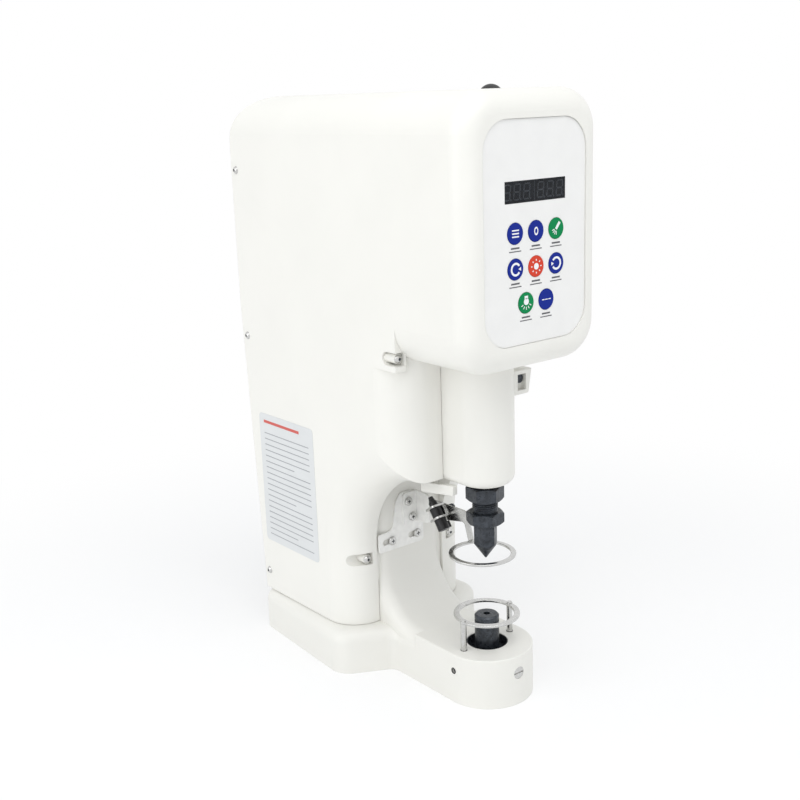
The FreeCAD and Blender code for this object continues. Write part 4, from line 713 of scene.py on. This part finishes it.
def key_prints():
    """The white sign on each key."""
    material = ink("white_print", print_white)
    signs = [list_marks(), zero_marks(), beam_marks(), turn_marks(1), sun_marks(), turn_marks(-1),
             lamp_marks(), dash_marks()]
    for number, polygons in enumerate(signs, start=1):
        body = "key_" + str(number)
        low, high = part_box(body)
        centre = (low + high) / 2
        place = facing_front(centre.x, low.y, centre.z)
        flat_marks("print_" + body, polygons, place, forward * mark_thickness, material, body)


def key_captions():
    """Two plain strokes on the panel under each key."""
    polygons = []
    for number in range(1, key_count + 1):
        low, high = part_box("key_" + str(number))
        foot = low.z + key_flange_margin
        for half, thin, drop in caption_strokes:
            middle = (low.x + high.x) / 2
            polygons.append(bar(middle - half, middle + half, foot - drop - thin, foot - drop + thin))
    place = facing_front(0.0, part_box("control_panel")[0].y, 0.0)
    flat_marks("key_captions", polygons, place, forward * mark_thickness, ink("dark_print", ink_dark), "base")


def segment(length, upright):
    """One segment with pointed ends, level or upright."""
    half = length / 2 - segment_gap
    wide = segment_width / 2
    points = [(-half, 0), (wide - half, -wide), (half - wide, -wide), (half, 0), (half - wide, wide),
              (wide - half, wide)]
    return [(v, u) for u, v in points] if upright else points


def digit_marks():
    """Seven segments and a dot."""
    width = digit_width
    half = digit_height / 2
    parts = []
    for level in (-1, 0, 1):
        parts += moved([segment(width, False)], 0.0, level * half)
    for side in (-1, 1):
        for level in (-1, 1):
            parts += moved([segment(half, True)], side * width / 2, level * half / 2)
    parts += moved([bar(-dot_half, dot_half, -dot_half, dot_half)], width / 2 + 2 * dot_half, -half)
    return [[(u + digit_slant * v, v) for u, v in polygon] for polygon in parts]


def display_digits():
    """Unlit digits behind the smoked window."""
    low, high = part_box("display_module")
    middle = (low + high) / 2
    half = (high.z - low.z) / 2 - segment_gap
    polygons = [bar(-divider_half, divider_half, -half, half)]
    for i in range(group_digits):
        for side in (-1, 1):
            polygons += moved(digit_marks(), side * (first_digit + i * digit_pitch) - dot_half, 0.0)
    place = facing_front(middle.x, low.y, middle.z)
    material = ink("unlit_segments", segment_grey)
    flat_marks("display_digits", polygons, place, forward * segment_depth, material, "base")


def stud_thread(materials):
    """A helical ridge on the stud between the two lock nuts."""
    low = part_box("lower_lock_nut")[1].z - thread_pitch
    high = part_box("upper_lock_nut")[0].z + thread_pitch
    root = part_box("die_stud")[1].x - thread_bury
    crest = root + thread_bury + thread_height
    steps = int(thread_turn_steps * (high - low) / thread_pitch)
    rows = []
    for i in range(steps + 1):
        angle = math.tau * i / thread_turn_steps
        z = low + thread_pitch * i / thread_turn_steps
        ahead = Vector((math.cos(angle), math.sin(angle), 0.0))
        rows.append([ahead * radius + Vector((0.0, 0.0, z + lift))
                     for radius, lift in ((root, -thread_pitch / 2), (crest, 0.0), (root, thread_pitch / 2))])
    mesh = bmesh.new()
    skin(mesh, rows)
    mesh_piece("stud_thread", mesh, materials["black_oxide"], "ram")


def die_seat(materials):
    """A blackened seat that lines the recess round the die."""
    inner = die_radius + seat_gap
    outer = recess_radius - seat_gap
    low = recess_floor + seat_gap
    top = deck_height - seat_drop
    profile = [(inner, low), (outer, low), (outer, top), (outer - seat_wall, top),
               (outer - seat_wall, low + seat_floor), (inner, low + seat_floor)]
    lathed("die_seat", profile, Matrix(), materials["black_oxide"], "base")


def post_sleeves(materials):
    """Steel sleeves round the guard's two posts, each on a black ring of painted shade at its foot."""
    bore = post_radius + post_clearance
    low = deck_height + foot_shade_thickness
    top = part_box("lower_guard_ring")[0].z
    mid = sleeve_radius - sleeve_chamfer
    sleeve = [(bore, low), (mid, low), (sleeve_radius, low + sleeve_chamfer),
              (sleeve_radius, top - sleeve_chamfer), (mid, top), (bore, top)]
    # The black foot ring is painted shade, for the shadow at the post's foot.
    foot_shade = [(bore, deck_height), (foot_shade_radius, deck_height), (foot_shade_radius, low), (bore, low)]
    for side, name in ((-1, "left"), (1, "right")):
        place = Matrix.Translation((side * post_reach, 0.0, 0.0))
        lathed("post_sleeve_" + name, sleeve, place, materials["bright_steel"], "base")
        lathed("post_foot_shade_" + name, foot_shade, place, materials["black_plastic"], "base")


def laser_boot(materials):
    """A rubber boot at the laser's upper end, where its lead leaves."""
    turn = Matrix.Rotation(math.radians(laser_lean - 90), 4, "X")
    place = Matrix.Translation(laser_place) @ turn
    lathed("laser_boot", boot_profile, place, materials["black_plastic"], "laser")


def nose_hole_shade(materials):
    """Painted shade: a black ring round the hole of the die's set screw, making the hole's shade look wider.
    """
    place = Matrix.Translation(hole_shade_place) @ Matrix.Rotation(math.radians(-90), 4, "Y")
    lathed("nose_hole_shade", hole_shade_profile, place, materials["black_plastic"], "base")


def arc_line(centre, radius, z):
    """The depth of an arc's line at a height, on the far side of its centre."""
    return centre.x + math.sqrt(max(radius ** 2 - (z - centre.y) ** 2, 0.0))


def filler_front(z):
    """How far forward the filler reaches at a height: behind the column's front and the hood's edge."""
    column = column_front
    if z < sweep_centre.y:
        column = arc_line(sweep_centre, column_front - sweep_centre.x, z)
    elif z > corner_centre.y:
        column = arc_line(corner_centre, column_front - corner_centre.x, z)
    hood = arc_line(throat_centre, throat_radius, max(z, throat_centre.y))
    return max(column + filler_sink, hood + filler_margin)


def edge_fillers(materials):
    """A painted filler in the groove between the column's rounded edges and the hood, on both sides."""
    mesh = bmesh.new()
    for side in (-1, 1):
        rows = []
        for i in range(filler_steps + 1):
            z = filler_low + (filler_high - filler_low) * i / filler_steps
            front = filler_front(z)
            rows.append([Vector((side * filler_inner, front, z)), Vector((side * filler_outer, front, z)),
                         Vector((side * filler_outer, filler_back, z)),
                         Vector((side * filler_inner, filler_back, z))])
        skin(mesh, rows)
    mesh_piece("edge_fillers", mesh, materials["casting"], "base")


def cross_marks():
    """A cross of one long bar and two short ones."""
    return [bar(-cross_long, cross_long, -cross_half, cross_half),
            bar(-cross_half, cross_half, cross_half, cross_long),
            bar(-cross_half, cross_half, -cross_long, -cross_half)]


def pan_cross_shade(materials):
    """Painted shade: dark crosses deep in the bracket's screw recesses, standing for the shade in them."""
    for node, (body, spots) in pan_shade_spots.items():
        polygons = []
        for x, z in spots:
            polygons += moved(cross_marks(), x * MM, z * MM)
        place = facing_front(0.0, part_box(node)[0].y + cross_floor, 0.0)
        # The black here is painted shade in the recesses, not the screws' own finish.
        flat_marks(node + "_cross_shade", polygons, place, forward * cross_thickness, materials["black_oxide"],
                   body)


def socket_shade_discs(materials):
    """Painted shade: dark discs deep in the sockets of the hood's dome-headed screws, standing for the shade
    in them.
    """
    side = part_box("hood_side_screws")[1].x - socket_depth
    # The black discs are painted shade in the sockets.
    black = materials["black_oxide"]
    discs = []
    for y, z in side_spots:
        discs += moved([disc(socket_shade_radius)], y * MM, z * MM)
    for sign, name in ((-1, "left"), (1, "right")):
        flat_marks(name + "_socket_shade", discs, facing_side(sign * side), -sign * leftward * socket_shade_thickness,
                   black, "base")
    for name, x, y, z in front_spots:
        pair = moved([disc(socket_shade_radius)], x * MM, z * MM) + moved([disc(socket_shade_radius)], -x * MM, z * MM)
        place = facing_front(0.0, y * MM + socket_depth, 0.0)
        flat_marks(name, pair, place, forward * socket_shade_thickness, black, "base")


def rounded_outline(low, high, radius):
    """Corners of a rounded rectangle as a fine polygon."""
    points = []
    centres = [(high.x - radius, high.y - radius, 0), (low.x + radius, high.y - radius, 90),
               (low.x + radius, low.y + radius, 180), (high.x - radius, low.y + radius, 270)]
    for u, v, start in centres:
        for i in range(corner_steps + 1):
            angle = math.radians(start + 90 * i / corner_steps)
            points.append((u + radius * math.cos(angle), v + radius * math.sin(angle)))
    return points


def side_label():
    """A plain label on the hood's left side: a grey sheet with ruled lines and no words."""
    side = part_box("hood")[0].x
    outline = rounded_outline(label_low, label_high, label_round)
    flat_marks("side_label", [outline], facing_side(side), leftward * label_thickness,
               overlay("label_sheet", label_grey), "base")
    top = label_high.y - label_margin
    pitch = (top - label_low.y - label_margin) / (label_line_count + 1)
    left = label_low.x + label_margin
    right = label_high.x - label_margin
    rows = []
    for i in range(label_line_count):
        v = top - (i + 2) * pitch
        end = left if (i + 1) % label_short_every else left + (right - left) * label_short_start
        rows.append(bar(end, right, v - label_line_half, v + label_line_half))
    place = facing_side(side - label_thickness)
    printed = leftward * mark_thickness
    flat_marks("side_label_lines", rows, place, printed, ink("grey_print", ink_grey), "base")
    start = left + (right - left) * label_head_start
    head = [bar(start, right, top - label_head_half, top + label_head_half)]
    flat_marks("side_label_head", head, place, printed, ink("red_print", ink_red), "base")


def backdrop_rays(tree):
    """1 for the rays that see the background: the camera's, mirrored and passed ones."""
    path = tree.nodes.new("ShaderNodeLightPath")
    value = path.outputs["Is Camera Ray"]
    for name in ("Is Glossy Ray", "Is Transmission Ray"):
        either = tree.nodes.new("ShaderNodeMath")
        either.operation = "MAXIMUM"
        tree.links.new(value, either.inputs[0])
        tree.links.new(path.outputs[name], either.inputs[1])
        value = either.outputs["Value"]
    return value


def floor_material():
    """White floor that keeps the object's shadow near it and runs out into the white background."""
    material, shader = new_material("floor_white", floor_tone, roughness=0.85)
    shader.inputs["Specular IOR Level"].default_value = 0.1
    tree = material.node_tree
    place = tree.nodes.new("ShaderNodeTexCoord")
    reach = tree.nodes.new("ShaderNodeVectorMath")
    reach.operation = "LENGTH"
    tree.links.new(place.outputs["Object"], reach.inputs[0])
    fade = tree.nodes.new("ShaderNodeMapRange")
    fade.interpolation_type = "SMOOTHSTEP"
    fade.inputs["From Min"].default_value = floor_near
    fade.inputs["From Max"].default_value = floor_far
    fade.inputs["To Min"].default_value = floor_glow
    fade.inputs["To Max"].default_value = 1.0
    tree.links.new(reach.outputs["Value"], fade.inputs["Value"])
    share = tree.nodes.new("ShaderNodeMath")
    share.operation = "MULTIPLY"
    tree.links.new(fade.outputs["Result"], share.inputs[0])
    tree.links.new(backdrop_rays(tree), share.inputs[1])
    white = tree.nodes.new("ShaderNodeEmission")
    white.inputs["Color"].default_value = pure_white
    white.inputs["Strength"].default_value = 1.0
    mix = tree.nodes.new("ShaderNodeMixShader")
    tree.links.new(share.outputs["Value"], mix.inputs["Fac"])
    tree.links.new(shader.outputs["BSDF"], mix.inputs[1])
    tree.links.new(white.outputs["Emission"], mix.inputs[2])
    tree.links.new(mix.outputs["Shader"], tree.nodes["Material Output"].inputs["Surface"])
    return material


def floor():
    """A pale floor that runs out to the backdrop."""
    mesh = bmesh.new()
    bmesh.ops.create_grid(mesh, x_segments=1, y_segments=1, size=floor_half)
    data = bpy.data.meshes.new("floor")
    mesh.to_mesh(data)
    mesh.free()
    plane = bpy.data.objects.new("floor", data)
    bpy.context.scene.collection.objects.link(plane)
    plane.location = floor_centre
    data.materials.append(floor_material())


def world():
    """Soft light from all round, and a white backdrop for what sees it."""
    scene = bpy.context.scene
    scene.world = bpy.data.worlds.new("studio")
    scene.world.use_nodes = True
    tree = scene.world.node_tree
    light = tree.nodes["Background"]
    light.inputs["Color"].default_value = world_tint
    light.inputs["Strength"].default_value = world_strength
    white = tree.nodes.new("ShaderNodeBackground")
    white.inputs["Color"].default_value = pure_white
    white.inputs["Strength"].default_value = 1.0
    mix = tree.nodes.new("ShaderNodeMixShader")
    tree.links.new(backdrop_rays(tree), mix.inputs["Fac"])
    tree.links.new(light.outputs["Background"], mix.inputs[1])
    tree.links.new(white.outputs["Background"], mix.inputs[2])
    tree.links.new(mix.outputs["Shader"], tree.nodes["World Output"].inputs["Surface"])


def lamps():
    """Square soft lamps, all aimed at the middle of the object."""
    for name, place, size, watts in lamp_table:
        data = bpy.data.lights.new(name, "AREA")
        data.size = size
        data.energy = watts
        piece = bpy.data.objects.new(name, data)
        bpy.context.scene.collection.objects.link(piece)
        piece.location = place
        aim = Vector(lamp_target) - Vector(place)
        piece.rotation_euler = aim.to_track_quat("-Z", "Y").to_euler()


def camera():
    """The photograph's camera, from its place and its three angles."""
    yaw = math.radians(camera_yaw)
    pitch = math.radians(camera_pitch)
    roll = math.radians(camera_roll)
    ahead = Vector((math.sin(yaw) * math.cos(pitch), math.cos(yaw) * math.cos(pitch), math.sin(pitch)))
    level = Vector((math.cos(yaw), -math.sin(yaw), 0.0))
    upright = level.cross(ahead)
    right = level * math.cos(roll) + upright * math.sin(roll)
    up = upright * math.cos(roll) - level * math.sin(roll)
    data = bpy.data.cameras.new("camera")
    data.lens = camera_lens
    data.sensor_width = camera_sensor
    data.clip_start = camera_near
    data.clip_end = camera_far
    piece = bpy.data.objects.new("camera", data)
    bpy.context.scene.collection.objects.link(piece)
    turn = Matrix((right, up, -ahead)).transposed().to_4x4()
    piece.matrix_world = Matrix.Translation(camera_place) @ turn
    bpy.context.scene.camera = piece


camera()
world()
lamps()
floor()
materials = make_materials()
dress_nodes(materials)
key_prints()
key_captions()
display_digits()
stud_thread(materials)
die_seat(materials)
post_sleeves(materials)
laser_boot(materials)
nose_hole_shade(materials)
edge_fillers(materials)
pan_cross_shade(materials)
socket_shade_discs(materials)
side_label()
bpy.context.scene.view_settings.view_transform = "Standard"
